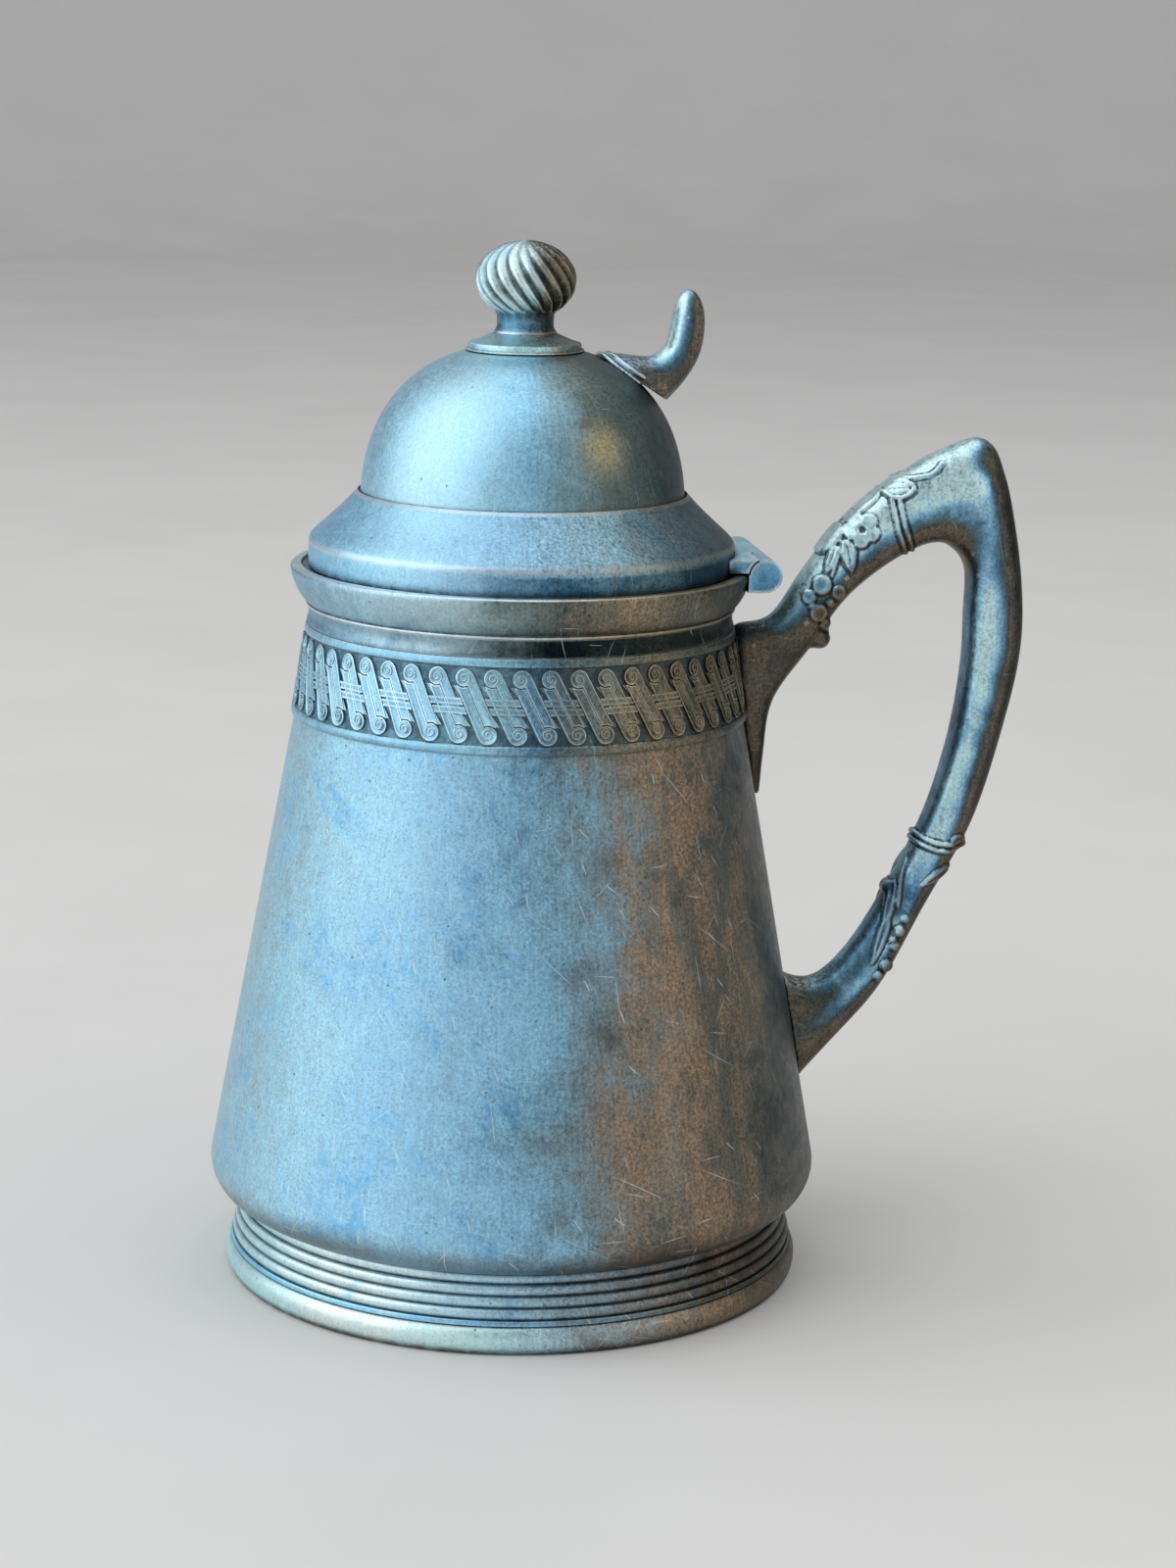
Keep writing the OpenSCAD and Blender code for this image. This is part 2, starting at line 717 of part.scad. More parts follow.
module handle() {
    tip_z = lip_z - tongue_drop;
    grip = grip_w / 2;
    inner = handle_reach - grip_t;
    outer = handle_reach;
    // Height of a point of the lower arm, by its share of the drop from the lip to the lower root
    function low(u) = root_z + u * (lip_z - root_z);
    color(tarnish_brown) difference() {
        cast_bar([
            station(from_side(1.2, tip_z), from_side(-0.8, tip_z - 0.4), 0.2 * grip),
            station(from_side(3.2, tip_z + 8), from_side(-1.5, tip_z + 9), 0.6 * grip),
            station(from_side(6.1, tip_z + 16.6), from_lip(outer, 0.01, -12), 0.8 * grip),
            station(from_lip(inner, 0.355, -14.6), from_lip(outer, 0.145, -9.5), 0.83 * grip),
            station(from_lip(inner, 0.485, -6.4), from_lip(outer, 0.255, -0.8), 0.9 * grip),
            station(from_lip(inner, 0.645, -0.6), from_lip(outer, 0.41, crest_rise - 12.7), grip),
            station(from_lip(inner, 0.795, 2.9), from_lip(outer, 0.605, crest_rise - 4.8), 1.06 * grip),
            station(from_lip(inner, 0.88, 3.5), from_lip(outer, 0.765, crest_rise - 0.7), 1.1 * grip),
            station(from_lip(inner, 0.925, 2.7), from_lip(outer, 0.832, crest_rise), 1.1 * grip),
            station(from_lip(inner, 0.962, 1.3), from_lip(outer, 0.882, crest_rise - 1.7), 1.1 * grip),
            station(from_lip(inner, 0.988, -0.6), from_lip(outer, 0.914, crest_rise - 5.6), 1.08 * grip),
            station(from_lip(inner, 1, -3.2), from_lip(outer, 0.945, crest_rise - 11), 1.06 * grip),
            station(from_lip(inner, 0.995, -8.9), from_lip(outer, 0.99, crest_rise - 23.6), grip),
            station(from_lip(inner, 0.993, -17.4), from_lip(outer, 1, -15), grip),
            station(from_side(0.865 * inner, low(0.632)), from_side(0.874 * outer, low(0.635)), grip),
            station(from_side(0.705 * inner, low(0.457)), from_side(0.725 * outer, low(0.435)), 0.9 * grip),
            station(from_side(0.485 * inner, low(0.289)), from_side(0.528 * outer, low(0.263)), 0.8 * grip),
            station(from_side(0.28 * inner, low(0.16)), from_side(0.337 * outer, low(0.088)), 0.8 * grip),
            station(from_side(4.6, root_z + 8.2), from_side(8.3, root_z - 1.8), 0.95 * grip),
            station(from_side(-2, root_z + 10.8), from_side(-1.6, root_z - 11), 1.1 * grip)
        ], 3, 20, grip_square);
        body_form(seam);
        turned([[0, neck_z], each collar_edge(collar_clear), [0, lip_z]]);
    }
}

body_shell();
bottom_disc();
foot_ring();
foot_bead();
ornament_band();
rim_collar();
handle();
hinge_block();
hinge_pin();
lid_skirt();
lid_dome();
lid_bezel();
hinge_leaf();
thumb_lift();
finial_plate();
finial_knob();
finial_stud();
finial_washer();
finial_nut();
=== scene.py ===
import math
import bmesh
import bpy
import numpy as np
from mathutils import Matrix, Vector


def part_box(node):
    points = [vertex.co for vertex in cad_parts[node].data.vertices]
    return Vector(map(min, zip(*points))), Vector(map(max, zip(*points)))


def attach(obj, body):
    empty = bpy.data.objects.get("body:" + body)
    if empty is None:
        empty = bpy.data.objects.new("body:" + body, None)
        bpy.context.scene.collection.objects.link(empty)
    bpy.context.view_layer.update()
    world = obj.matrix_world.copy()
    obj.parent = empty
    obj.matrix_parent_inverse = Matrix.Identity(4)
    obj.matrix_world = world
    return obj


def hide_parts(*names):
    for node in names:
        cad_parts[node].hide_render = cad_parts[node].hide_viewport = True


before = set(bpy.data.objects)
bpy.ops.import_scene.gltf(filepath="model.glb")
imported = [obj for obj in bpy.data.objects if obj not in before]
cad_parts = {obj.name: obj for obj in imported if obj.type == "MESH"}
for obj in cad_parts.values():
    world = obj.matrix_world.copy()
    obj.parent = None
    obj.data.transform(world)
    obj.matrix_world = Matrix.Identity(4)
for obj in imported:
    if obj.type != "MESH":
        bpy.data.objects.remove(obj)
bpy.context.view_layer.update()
mm = 0.001  # all shape values below are in millimetres
print("frame loaded:", len(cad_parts), "nodes")


# Node helpers: every material below is made with these

def addNode(tree, kind, settings=None, **sockets):
    made = tree.nodes.new(kind)
    for key, value in (settings or {}).items():
        setattr(made, key, value)
    for key, value in sockets.items():
        feed(tree, made.inputs[key.replace("_", " ")], value)
    return made


def feed(tree, socket, value):
    if isinstance(value, bpy.types.NodeSocket):
        tree.links.new(value, socket)
    else:
        socket.default_value = value


def calc(tree, operation, a, b=0.0, clamp=False):
    made = tree.nodes.new("ShaderNodeMath")
    made.operation = operation
    made.use_clamp = clamp
    feed(tree, made.inputs[0], a)
    feed(tree, made.inputs[1], b)
    return made.outputs[0]


def product(tree, first, *others):
    for other in others:
        first = calc(tree, "MULTIPLY", first, other)
    return first


def most(tree, first, *others):
    for other in others:
        first = calc(tree, "MAXIMUM", first, other)
    return first


def centred(tree, layer, share):
    # A layer of noise counted from its middle
    return calc(tree, "MULTIPLY", calc(tree, "SUBTRACT", layer, 0.5), share)


def vectorCalc(tree, operation, a, b):
    made = tree.nodes.new("ShaderNodeVectorMath")
    made.operation = operation
    feed(tree, made.inputs[0], a)
    feed(tree, made.inputs[3 if operation == "SCALE" else 1], b)
    return made.outputs["Value" if operation in ("DOT_PRODUCT", "DISTANCE") else "Vector"]


def blendColour(tree, share, a, b, mode="MIX"):
    made = tree.nodes.new("ShaderNodeMix")
    made.data_type = "RGBA"
    made.blend_type = mode
    feed(tree, made.inputs[0], share)
    feed(tree, made.inputs[6], a)
    feed(tree, made.inputs[7], b)
    return made.outputs[2]


def ramp(tree, value, low, high, toLow=0.0, toHigh=1.0):
    made = tree.nodes.new("ShaderNodeMapRange")
    made.interpolation_type = "SMOOTHSTEP"
    feed(tree, made.inputs["Value"], value)
    feed(tree, made.inputs["From Min"], low)
    feed(tree, made.inputs["From Max"], high)
    feed(tree, made.inputs["To Min"], toLow)
    feed(tree, made.inputs["To Max"], toHigh)
    return made.outputs["Result"]


def colourRamp(tree, value, stops):
    # Colours along a value from -1 to 1
    share = calc(tree, "ADD", calc(tree, "MULTIPLY", value, 0.5), 0.5, True)
    made = addNode(tree, "ShaderNodeValToRGB", Fac=share)
    marks = made.color_ramp.elements
    for mark, (place, colour) in ((marks[0], stops[0]), (marks[1], stops[-1])):
        mark.position = 0.5 + 0.5 * place
        mark.color = (*colour, 1.0)
    for place, colour in stops[1:-1]:
        marks.new(0.5 + 0.5 * place).color = (*colour, 1.0)
    return made.outputs["Color"]


def noise(tree, coords, scale, detail=3.0, roughness=0.6, twist=0.0):
    made = addNode(tree, "ShaderNodeTexNoise", Vector=coords, Scale=scale, Detail=detail,
                   Roughness=roughness, Distortion=twist)
    return made.outputs[0]


def drawnOut(tree, coords, turn, across, along):
    # Coordinates counted in steps of two lengths, turned on the surface
    made = addNode(tree, "ShaderNodeMapping", {"vector_type": "TEXTURE"}, Vector=coords,
                   Rotation=(0.0, 0.0, math.radians(turn)), Scale=(across, along, 1.0))
    return made.outputs[0]


def cells(tree, coords, looseness=1.0):
    made = addNode(tree, "ShaderNodeTexVoronoi", {"voronoi_dimensions": "2D"}, Vector=coords, Scale=1.0,
                   Randomness=looseness)
    return made.outputs


def scratchLines(tree, surface, turn, breadth, length, kept, width):
    # Cells in rows along one direction, of which a few hold one short, slightly bent line
    laid = drawnOut(tree, surface, turn, breadth, length)
    cell = cells(tree, laid, 0.9)
    away = vectorCalc(tree, "SUBTRACT", laid, cell["Position"])
    across, along = addNode(tree, "ShaderNodeSeparateXYZ", Vector=away).outputs[:2]
    pick = addNode(tree, "ShaderNodeSeparateColor", Color=cell["Color"]).outputs
    lean = centred(tree, pick[1], 1.1)
    bend = centred(tree, pick[2], 0.6)
    path = calc(tree, "ADD", product(tree, along, lean), product(tree, along, along, bend))
    off = calc(tree, "MULTIPLY", calc(tree, "ABSOLUTE", calc(tree, "ADD", across, path)), breadth)
    line = ramp(tree, off, width, 0.35 * width)
    ends = ramp(tree, calc(tree, "ABSOLUTE", along), 0.42, 0.12)
    chosen = calc(tree, "LESS_THAN", pick[0], kept)
    return product(tree, line, ends, chosen)


# Old silver plate: painted light and shade from a pale blue lit side to a brown shaded side towards the handle,
# with tarnish, stains, pits and fine wear.
# Each piece gives its own tones, from the painted lit side at -1 to the painted shaded side at 1, and changes
# to these values.

plateLook = {
    "waver": 0.30,  # how far clouds of tarnish shift the tones of painted light and shade
    "turned": True,  # tones and scratches follow the round of the piece
    "unrolled": 0.042,  # radius at which a round piece is unrolled for its scratches
    "lit": (-0.35, 0.55, 0.76),  # direction of the painted light, towards the pale side, on pieces that aren't turned
    "shaded": False,  # the piece carries a painted shade attribute that shifts its tones
    "stain": (0.38, 0.68, 0.94, 1.0),
    "stainShare": 0.75,
    # coppery colour of worn plate, which also stands for a painted warm reflection
    "copper": (0.42, 0.275, 0.165, 1.0),
    "copperShare": 0.68,
    "zones": [],  # bands of height tinted by a colour, with their shares on the pale and on the dark side
    "warmReflection": None,  # a painted warm reflection of a lamp, as a spot
    # painted shade on faces that look down
    "under": (0.085, 0.075, 0.06, 1.0),
    "underShare": 0.5,
    "dust": (0.62, 0.78, 0.86, 1.0),
    "dustShare": 0.35,  # on what faces up
    "mottled": 0.35,  # contrast of blotches
    "grain": (0.9, 2.8),  # contrast of the grain on the pale and on the dark side
    "etching": (0.16, 0.34),  # darkness of the etched lines there
    "scratch": (0.86, 0.96, 1.0, 1.0),
    "scratchShare": 0.55,
    # bright worn edges, which also stand for painted highlights
    "wearAndHighlight": (0.84, 0.95, 1.0, 1.0),
    "gildedWearAndHighlight": (0.56, 0.43, 0.25, 1.0),  # worn edges and painted highlights on the dark side
    "wearAndHighlightShare": 0.65,
    "wearAndHighlightWidth": 0.0004,
    "crests": [],  # turned edges with painted highlight lines: height, half width, share
    # dark tarnish in hollows, and painted shade in crevices and under overhangs
    "tarnishAndShade": (0.014, 0.019, 0.022, 1.0),
    "tarnishAndShadeReach": 0.0022,
    "tarnishAndShadeShare": 0.85,
    "dense": False,  # a fine mesh, whose ridges and hollows are read from its own shape
    "ridges": (0.505, 0.54),  # where ridges on a fine mesh begin and their wear and painted highlight are brightest
    "hollows": (0.494, 0.455),  # where hollows on a fine mesh begin and their tarnish and painted shade are darkest
    "relief": False,  # the piece carries its own relief attribute
    "metal": 0.94,
    "rough": 0.42,
    "grainDepth": 0.00005,
}
scratchLayers = [  # turn, breadth and length of a cell, share of cells with a scratch, its half width
    (8.0, 0.003, 0.009, 0.09, 0.00008),
    (25.0, 0.0026, 0.0034, 0.09, 0.00013),
    (84.0, 0.0025, 0.005, 0.08, 0.00007),
    (-38.0, 0.003, 0.007, 0.08, 0.00007),
    (50.0, 0.004, 0.013, 0.08, 0.00007),
]


def layPlaces(tree, look):
    # Where a spot of the surface lies, and how far it is towards the painted shaded side
    place = addNode(tree, "ShaderNodeTexCoord").outputs
    x, y, z = addNode(tree, "ShaderNodeSeparateXYZ", Vector=place["Object"]).outputs
    facing = addNode(tree, "ShaderNodeSeparateXYZ", Vector=place["Normal"]).outputs
    if look["turned"]:  # the round piece is unrolled, with the seam behind the handle; painted light falls from -X
        radius = calc(tree, "SQRT", calc(tree, "ADD", product(tree, x, x), product(tree, y, y)))
        side = calc(tree, "DIVIDE", x, calc(tree, "MAXIMUM", radius, 0.0001))
        angle = calc(tree, "ARCTAN2", calc(tree, "MULTIPLY", y, -1.0), calc(tree, "MULTIPLY", x, -1.0))
        around = calc(tree, "MULTIPLY", angle, look["unrolled"])
    else:  # both faces of the piece are alike, and painted light falls from the lit direction
        folded = addNode(tree, "ShaderNodeCombineXYZ", X=facing[0], Y=calc(tree, "ABSOLUTE", facing[1]),
                         Z=facing[2]).outputs[0]
        side = calc(tree, "MULTIPLY", vectorCalc(tree, "DOT_PRODUCT", folded, look["lit"]), -1.0)
        around = x
    if look["shaded"]:
        shade = addNode(tree, "ShaderNodeAttribute", {"attribute_name": "shade"}).outputs["Fac"]
        side = calc(tree, "ADD", side, shade)
    surface = addNode(tree, "ShaderNodeCombineXYZ", X=around, Y=z).outputs[0]
    return {"coords": place["Object"], "height": z, "up": facing[2], "surface": surface, "side": side}


def layMarks(tree, look, on):
    # Layers of tarnish and grain, which also shift the border between the painted lit side and the painted
    # shaded side
    coords, surface = on["coords"], on["surface"]
    on["cloud"] = noise(tree, coords, 42.0, 4.0, 0.62, 0.6)  # broad clouds of tarnish
    on["patch"] = noise(tree, coords, 85.0, 5.0, 0.66, 0.7)  # patches of a centimetre
    on["mottle"] = noise(tree, coords, 420.0, 4.0, 0.7, 0.4)  # blotches of two millimetres
    on["pebble"] = noise(tree, coords, 1900.0, 2.0, 0.65)  # fine pebbled grain
    on["runs"] = noise(tree, drawnOut(tree, surface, 0.0, 0.006, 0.022), 1.0, 5.0, 0.68, 0.8)  # upright runs
    brushed = noise(tree, drawnOut(tree, surface, 0.0, 0.0005, 0.007), 1.0, 2.0, 0.6)  # upright brush marks
    on["grain"] = calc(tree, "ADD", product(tree, on["pebble"], 0.7), product(tree, brushed, 0.3))
    etched = noise(tree, coords, 950.0, 1.0, 0.5, 1.6)  # its middle level runs in worm-like lines
    on["worms"] = ramp(tree, calc(tree, "ABSOLUTE", calc(tree, "SUBTRACT", etched, 0.5)), 0.045, 0.005)
    for layer, share in (("cloud", 2.0), ("runs", 0.6), ("patch", 1.6), ("mottle", 0.9)):
        on["side"] = calc(tree, "ADD", on["side"], centred(tree, on[layer], share * look["waver"]))
    # mask of the painted shaded side
    on["dark"] = ramp(tree, on["side"], -0.6, 0.25)


def tarnishAndLight(tree, look, on):
    # Tone of the metal as painted light and shade, coppery flecks of worn plate mixed with a painted warm
    # reflection, and blue stains with broken edges
    side, patch, pebble = on["side"], on["patch"], on["pebble"]
    # painted light and shade: tones from the lit side to the shaded side
    tone = colourRamp(tree, side, look["tones"])
    # coppery flecks and upright streaks towards the shaded side: worn plate and a painted warm reflection
    wearAndSheen = product(tree, ramp(tree, on["runs"], 0.40, 0.60), ramp(tree, side, 0.05, 0.4),
                   ramp(tree, side, 0.95, 0.6), ramp(tree, pebble, 0.38, 0.62, 0.45, 1.0),
                   ramp(tree, patch, 0.3, 0.5, 0.5, 1.0), look["copperShare"])
    tone = blendColour(tree, wearAndSheen, tone, look["copper"])
    stained = product(tree, ramp(tree, patch, 0.50, 0.68), ramp(tree, on["mottle"], 0.38, 0.60),
                      ramp(tree, pebble, 0.3, 0.55, 0.5, 1.0), look["stainShare"])
    tone = blendColour(tree, stained, tone, look["stain"], "MULTIPLY")
    for zone in look["zones"]:
        low, high = zone["low"], zone["high"]
        held = product(tree, ramp(tree, on["height"], low * mm, (low + 0.3) * mm),
                       ramp(tree, on["height"], high * mm, (high - zone["soft"]) * mm),
                       ramp(tree, side, -0.8, 0.2, *zone["shares"]),
                       ramp(tree, patch, 0.38, 0.55, 1.0 - zone["broken"], 1.0))
        tone = blendColour(tree, held, tone, zone["tint"], "MULTIPLY")
    # a painted warm reflection of a lamp, as a golden spot
    if look["warmReflection"]:
        warmReflection = look["warmReflection"]
        away = vectorCalc(tree, "DISTANCE", on["coords"], [v * mm for v in warmReflection["centre"]])
        near = ramp(tree, away, warmReflection["reach"] * mm, 0.0)
        spot = product(tree, near, near, ramp(tree, pebble, 0.35, 0.6, 0.7, 1.0), warmReflection["share"])
        tone = blendColour(tree, spot, tone, warmReflection["colour"])
    # painted shade on faces that look down
    under = product(tree, ramp(tree, on["up"], -0.02, -0.6), ramp(tree, on["cloud"], 0.25, 0.6, 0.75, 1.0),
                    look["underShare"])
    tone = blendColour(tree, under, tone, look["under"])
    dusty = product(tree, ramp(tree, on["up"], 0.45, 0.95), ramp(tree, pebble, 0.40, 0.58),
                    ramp(tree, side, 0.8, 0.2), look["dustShare"])
    return blendColour(tree, dusty, tone, look["dust"])


def fineWear(tree, look, on, tone):
    # Grain, etched lines, scratches and pits
    contrast = ramp(tree, on["dark"], 0.0, 1.0, *look["grain"])
    light = calc(tree, "ADD", centred(tree, on["grain"], contrast), 1.0)
    light = calc(tree, "ADD", light, centred(tree, on["mottle"], look["mottled"]))
    etching = product(tree, on["worms"], ramp(tree, on["dark"], 0.0, 1.0, *look["etching"]))
    light = calc(tree, "SUBTRACT", light, etching)
    tone = vectorCalc(tree, "SCALE", tone, calc(tree, "MAXIMUM", light, 0.15))
    on["lines"] = most(tree, *[scratchLines(tree, on["surface"], *layer) for layer in scratchLayers])
    scored = product(tree, on["lines"], look["scratchShare"], ramp(tree, on["patch"], 0.35, 0.6, 0.3, 1.0),
                     ramp(tree, on["side"], 0.95, 0.5, 0.3, 1.0))
    tone = blendColour(tree, scored, tone, look["scratch"])
    dots = cells(tree, drawnOut(tree, on["surface"], 0.0, 0.008, 0.008))
    pick = addNode(tree, "ShaderNodeSeparateColor", Color=dots["Color"]).outputs[0]
    on["pits"] = product(tree, ramp(tree, dots["Distance"], 0.035, 0.015), calc(tree, "LESS_THAN", pick, 0.3))
    return blendColour(tree, product(tree, on["pits"], 0.6), tone, look["tarnishAndShade"])


def edgeWearAndLight(tree, look, on, tone):
    # Worn edges and ridges with painted highlights, dark tarnish and painted shade in hollows
    side, mottle = on["side"], on["mottle"]
    shape = addNode(tree, "ShaderNodeNewGeometry").outputs
    # tarnish and painted shade where other surfaces are near
    hollow = addNode(tree, "ShaderNodeAmbientOcclusion", {"samples": 6}, Distance=look["tarnishAndShadeReach"])
    tarnishAndShade = ramp(tree, hollow.outputs["AO"], 0.86, 0.40)
    if look["dense"]:
        wearAndHighlight = ramp(tree, shape["Pointiness"], *look["ridges"])
        tarnishAndShade = most(tree, tarnishAndShade, ramp(tree, shape["Pointiness"], *look["hollows"]))
    else:
        rounded = addNode(tree, "ShaderNodeBevel", {"samples": 4}, Radius=look["wearAndHighlightWidth"]).outputs[0]
        wearAndHighlight = ramp(tree, vectorCalc(tree, "DOT_PRODUCT", rounded, shape["Normal"]), 0.985, 0.90)
    # tops of the straps get wear and painted highlight, and the sunk ground between them gets tarnish and
    # painted shade
    if look["relief"]:
        height = addNode(tree, "ShaderNodeAttribute", {"attribute_name": "relief"}).outputs["Fac"]
        tarnishAndShade = most(tree, tarnishAndShade, ramp(tree, height, 0.6, 0.12, 0.0, 0.95),
                    ramp(tree, height, 0.93, 0.82, 0.0, 0.25))
        wearAndHighlight = most(tree, wearAndHighlight, ramp(tree, height, 0.88, 1.0))
    # painted highlight lines along turned edges
    for level, half, share in look["crests"]:
        off = calc(tree, "ABSOLUTE", calc(tree, "SUBTRACT", on["height"], level * mm))
        wearAndHighlight = most(tree, wearAndHighlight, ramp(tree, off, half * mm, 0.3 * half * mm, 0.0, share))
    on["wearAndHighlight"] = product(tree, wearAndHighlight, look["wearAndHighlightShare"], ramp(tree, mottle, 0.3, 0.55, 0.45, 1.0))
    on["tarnishAndShade"] = product(tree, tarnishAndShade, look["tarnishAndShadeShare"], ramp(tree, mottle, 0.62, 0.40, 0.7, 1.0))
    bright = blendColour(tree, ramp(tree, side, -0.1, 0.4), look["wearAndHighlight"], look["gildedWearAndHighlight"])
    tone = blendColour(tree, product(tree, on["wearAndHighlight"], ramp(tree, side, 0.7, -0.1, 0.5, 1.0)), tone, bright)
    return blendColour(tree, on["tarnishAndShade"], tone, look["tarnishAndShade"])


def silverPlate(name, changes):
    look = dict(plateLook, **changes)
    made = bpy.data.materials.new(name)
    made.use_nodes = True
    tree = made.node_tree
    shader = tree.nodes["Principled BSDF"]
    on = layPlaces(tree, look)  # all that is known of a spot on the surface
    layMarks(tree, look, on)
    tone = tarnishAndLight(tree, look, on)
    tone = fineWear(tree, look, on, tone)
    tone = edgeWearAndLight(tree, look, on, tone)
    tree.links.new(tone, shader.inputs["Base Color"])

    rough = calc(tree, "ADD", centred(tree, on["mottle"], 0.4), look["rough"])
    rough = calc(tree, "ADD", rough, centred(tree, on["pebble"], 0.3))
    wearAndSheen = calc(tree, "SUBTRACT", product(tree, on["tarnishAndShade"], 0.25), product(tree, on["wearAndHighlight"], 0.12))
    tree.links.new(calc(tree, "ADD", rough, wearAndSheen, True), shader.inputs["Roughness"])
    shader.inputs["Metallic"].default_value = look["metal"]

    raised = calc(tree, "ADD", on["grain"], product(tree, on["mottle"], 0.8))
    sunk = calc(tree, "ADD", product(tree, on["lines"], 0.3), product(tree, on["worms"], 0.25))
    bumps = calc(tree, "SUBTRACT", raised, calc(tree, "ADD", sunk, on["pits"]))
    dents = addNode(tree, "ShaderNodeBump", Strength=0.7, Distance=look["grainDepth"], Height=bumps)
    tree.links.new(dents.outputs[0], shader.inputs["Normal"])
    return made


# Outline helpers, all in radius and height

def arcPoints(centre, radius, start, end, steps):
    found = []
    for i in range(steps + 1):
        a = math.radians(start + (end - start) * i / steps)
        found.append((centre[0] + radius * math.cos(a), centre[1] + radius * math.sin(a)))
    return found


def cubicPoints(a, b, c, d, steps):
    found = []
    for i in range(steps + 1):
        t = i / steps
        u = 1.0 - t
        weights = (u * u * u, 3 * u * u * t, 3 * u * t * t, t * t * t)
        found.append(tuple(sum(w * p[k] for w, p in zip(weights, (a, b, c, d))) for k in (0, 1)))
    return found


def turnOutline(outline, steps=240):
    bm = bmesh.new()
    ring = [bm.verts.new((r * mm, 0.0, z * mm)) for r, z in outline]
    for i, vert in enumerate(ring):
        bm.edges.new((vert, ring[(i + 1) % len(ring)]))
    bmesh.ops.spin(bm, geom=ring + bm.edges[:], cent=(0, 0, 0), axis=(0, 0, 1), angle=2 * math.pi,
                   steps=steps, use_merge=True)
    bmesh.ops.remove_doubles(bm, verts=bm.verts, dist=1e-7)
    bmesh.ops.recalc_face_normals(bm, faces=bm.faces)
    return bm


# Mesh helpers

def finishPiece(bm, name, body, nodes, material, sharpAngle=38.0):
    for face in bm.faces:
        face.smooth = True
    for edge in bm.edges:
        edge.smooth = edge.calc_face_angle(0.0) < math.radians(sharpAngle)
    piece = looseObject(bm, name)
    piece.data.materials.append(material)
    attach(piece, body)
    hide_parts(*nodes)


def looseObject(bm, name):
    mesh = bpy.data.meshes.new(name)
    bm.to_mesh(mesh)
    bm.free()
    made = bpy.data.objects.new(name, mesh)
    bpy.context.collection.objects.link(made)
    return made


def applied(source):
    # The mesh of an object with its modifiers applied, and the object gone
    graph = bpy.context.evaluated_depsgraph_get()
    mesh = bpy.data.meshes.new_from_object(source.evaluated_get(graph))
    bm = bmesh.new()
    bm.from_mesh(mesh)
    bpy.data.objects.remove(source)
    bpy.data.meshes.remove(mesh)
    return bm


def joinInto(bm, other):
    held = bpy.data.meshes.new("joined")
    other.to_mesh(held)
    other.free()
    bm.from_mesh(held)
    bpy.data.meshes.remove(held)


def mergedCopy(node):
    bm = bmesh.new()
    bm.from_mesh(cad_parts[node].data)
    bmesh.ops.remove_doubles(bm, verts=bm.verts, dist=1e-6)
    return bm


# Body: a cone with a rounded lower edge and an upright neck, turned in below

bodySizes = {"roundCentre": (46.67, 19.4), "round": 6.0, "taper": 10.4532, "wall": 1.2, "flange": 41.7,
             "neckRadius": 35.4772, "neckHeight": 113.3, "mouth": 122.9}
bodyLook = {
    "tones": [(-1.0, (0.42, 0.66, 0.79)), (-0.8, (0.42, 0.75, 0.93)), (-0.5, (0.36, 0.67, 0.90)),
              (-0.3, (0.37, 0.71, 0.96)), (-0.12, (0.30, 0.59, 0.80)), (0.12, (0.23, 0.35, 0.41)),
              (0.32, (0.20, 0.205, 0.185)), (0.5, (0.145, 0.135, 0.11)), (0.75, (0.10, 0.11, 0.095)),
              (1.0, (0.04, 0.045, 0.043))],
    "waver": 0.34, "grain": (1.1, 2.2), "etching": (0.24, 0.28), "scratchShare": 0.65,
    "zones": [{"low": 12.0, "high": 21.5, "soft": 7.0, "tint": (1.0, 0.66, 0.53, 1.0), "shares": (0.85, 0.5),
               "broken": 0.75}],
}


def makeBody():
    s = bodySizes
    inside = s["neckRadius"] - s["wall"]
    bottom = s["roundCentre"][1] - s["round"]
    outer = arcPoints(s["roundCentre"], s["round"], -90.0, s["taper"], 16)
    inner = arcPoints(s["roundCentre"], s["round"] - s["wall"], s["taper"], -90.0, 12)
    outline = [(s["flange"], bottom)] + outer + [
        (s["neckRadius"], s["neckHeight"]),
        (s["neckRadius"], s["mouth"]),
        (inside, s["mouth"]),
        (inside, s["neckHeight"] - 0.1),
    ] + inner + [(s["flange"], bottom + s["wall"])]
    plate = silverPlate("old_plate_body", bodyLook)
    finishPiece(turnOutline(outline), "spun_body", "pitcher", ["body_shell"], plate)


makeBody()


# Foot: four reeds, a step, an upright wall, and a half-round wire to stand on

footSizes = {"topRadius": 46.65, "topHeight": 13.35, "reeds": 4, "reedHeight": 1.9, "spread": 1.9,
             "swell": 0.55, "step": 49.1, "stepLow": 4.85, "wallOut": 47.35, "wall": 1.2, "lift": 0.4}
footLook = {
    "tones": [(-1.0, (0.60, 0.90, 1.0)), (-0.65, (0.84, 1.0, 1.0)), (-0.35, (0.56, 0.84, 1.0)),
              (0.0, (0.40, 0.60, 0.72)), (0.3, (0.18, 0.23, 0.25)), (0.6, (0.075, 0.065, 0.05)),
              (1.0, (0.04, 0.04, 0.034))],
    "waver": 0.25, "rough": 0.38, "wearAndHighlightShare": 0.5, "tarnishAndShade": (0.022, 0.055, 0.08, 1.0), "tarnishAndShadeShare": 0.5,
    "tarnishAndShadeReach": 0.0014, "grain": (0.7, 1.6), "mottled": 0.25, "copperShare": 0.4,
    "zones": [{"low": 4.7, "high": 6.1, "soft": 0.4, "tint": (0.32, 0.74, 1.0, 1.0), "shares": (0.9, 0.5),
               "broken": 0.3}],
}
wireSizes = {"inner": 47.4, "radius": 48.7, "swell": 1.3, "half": 2.4}
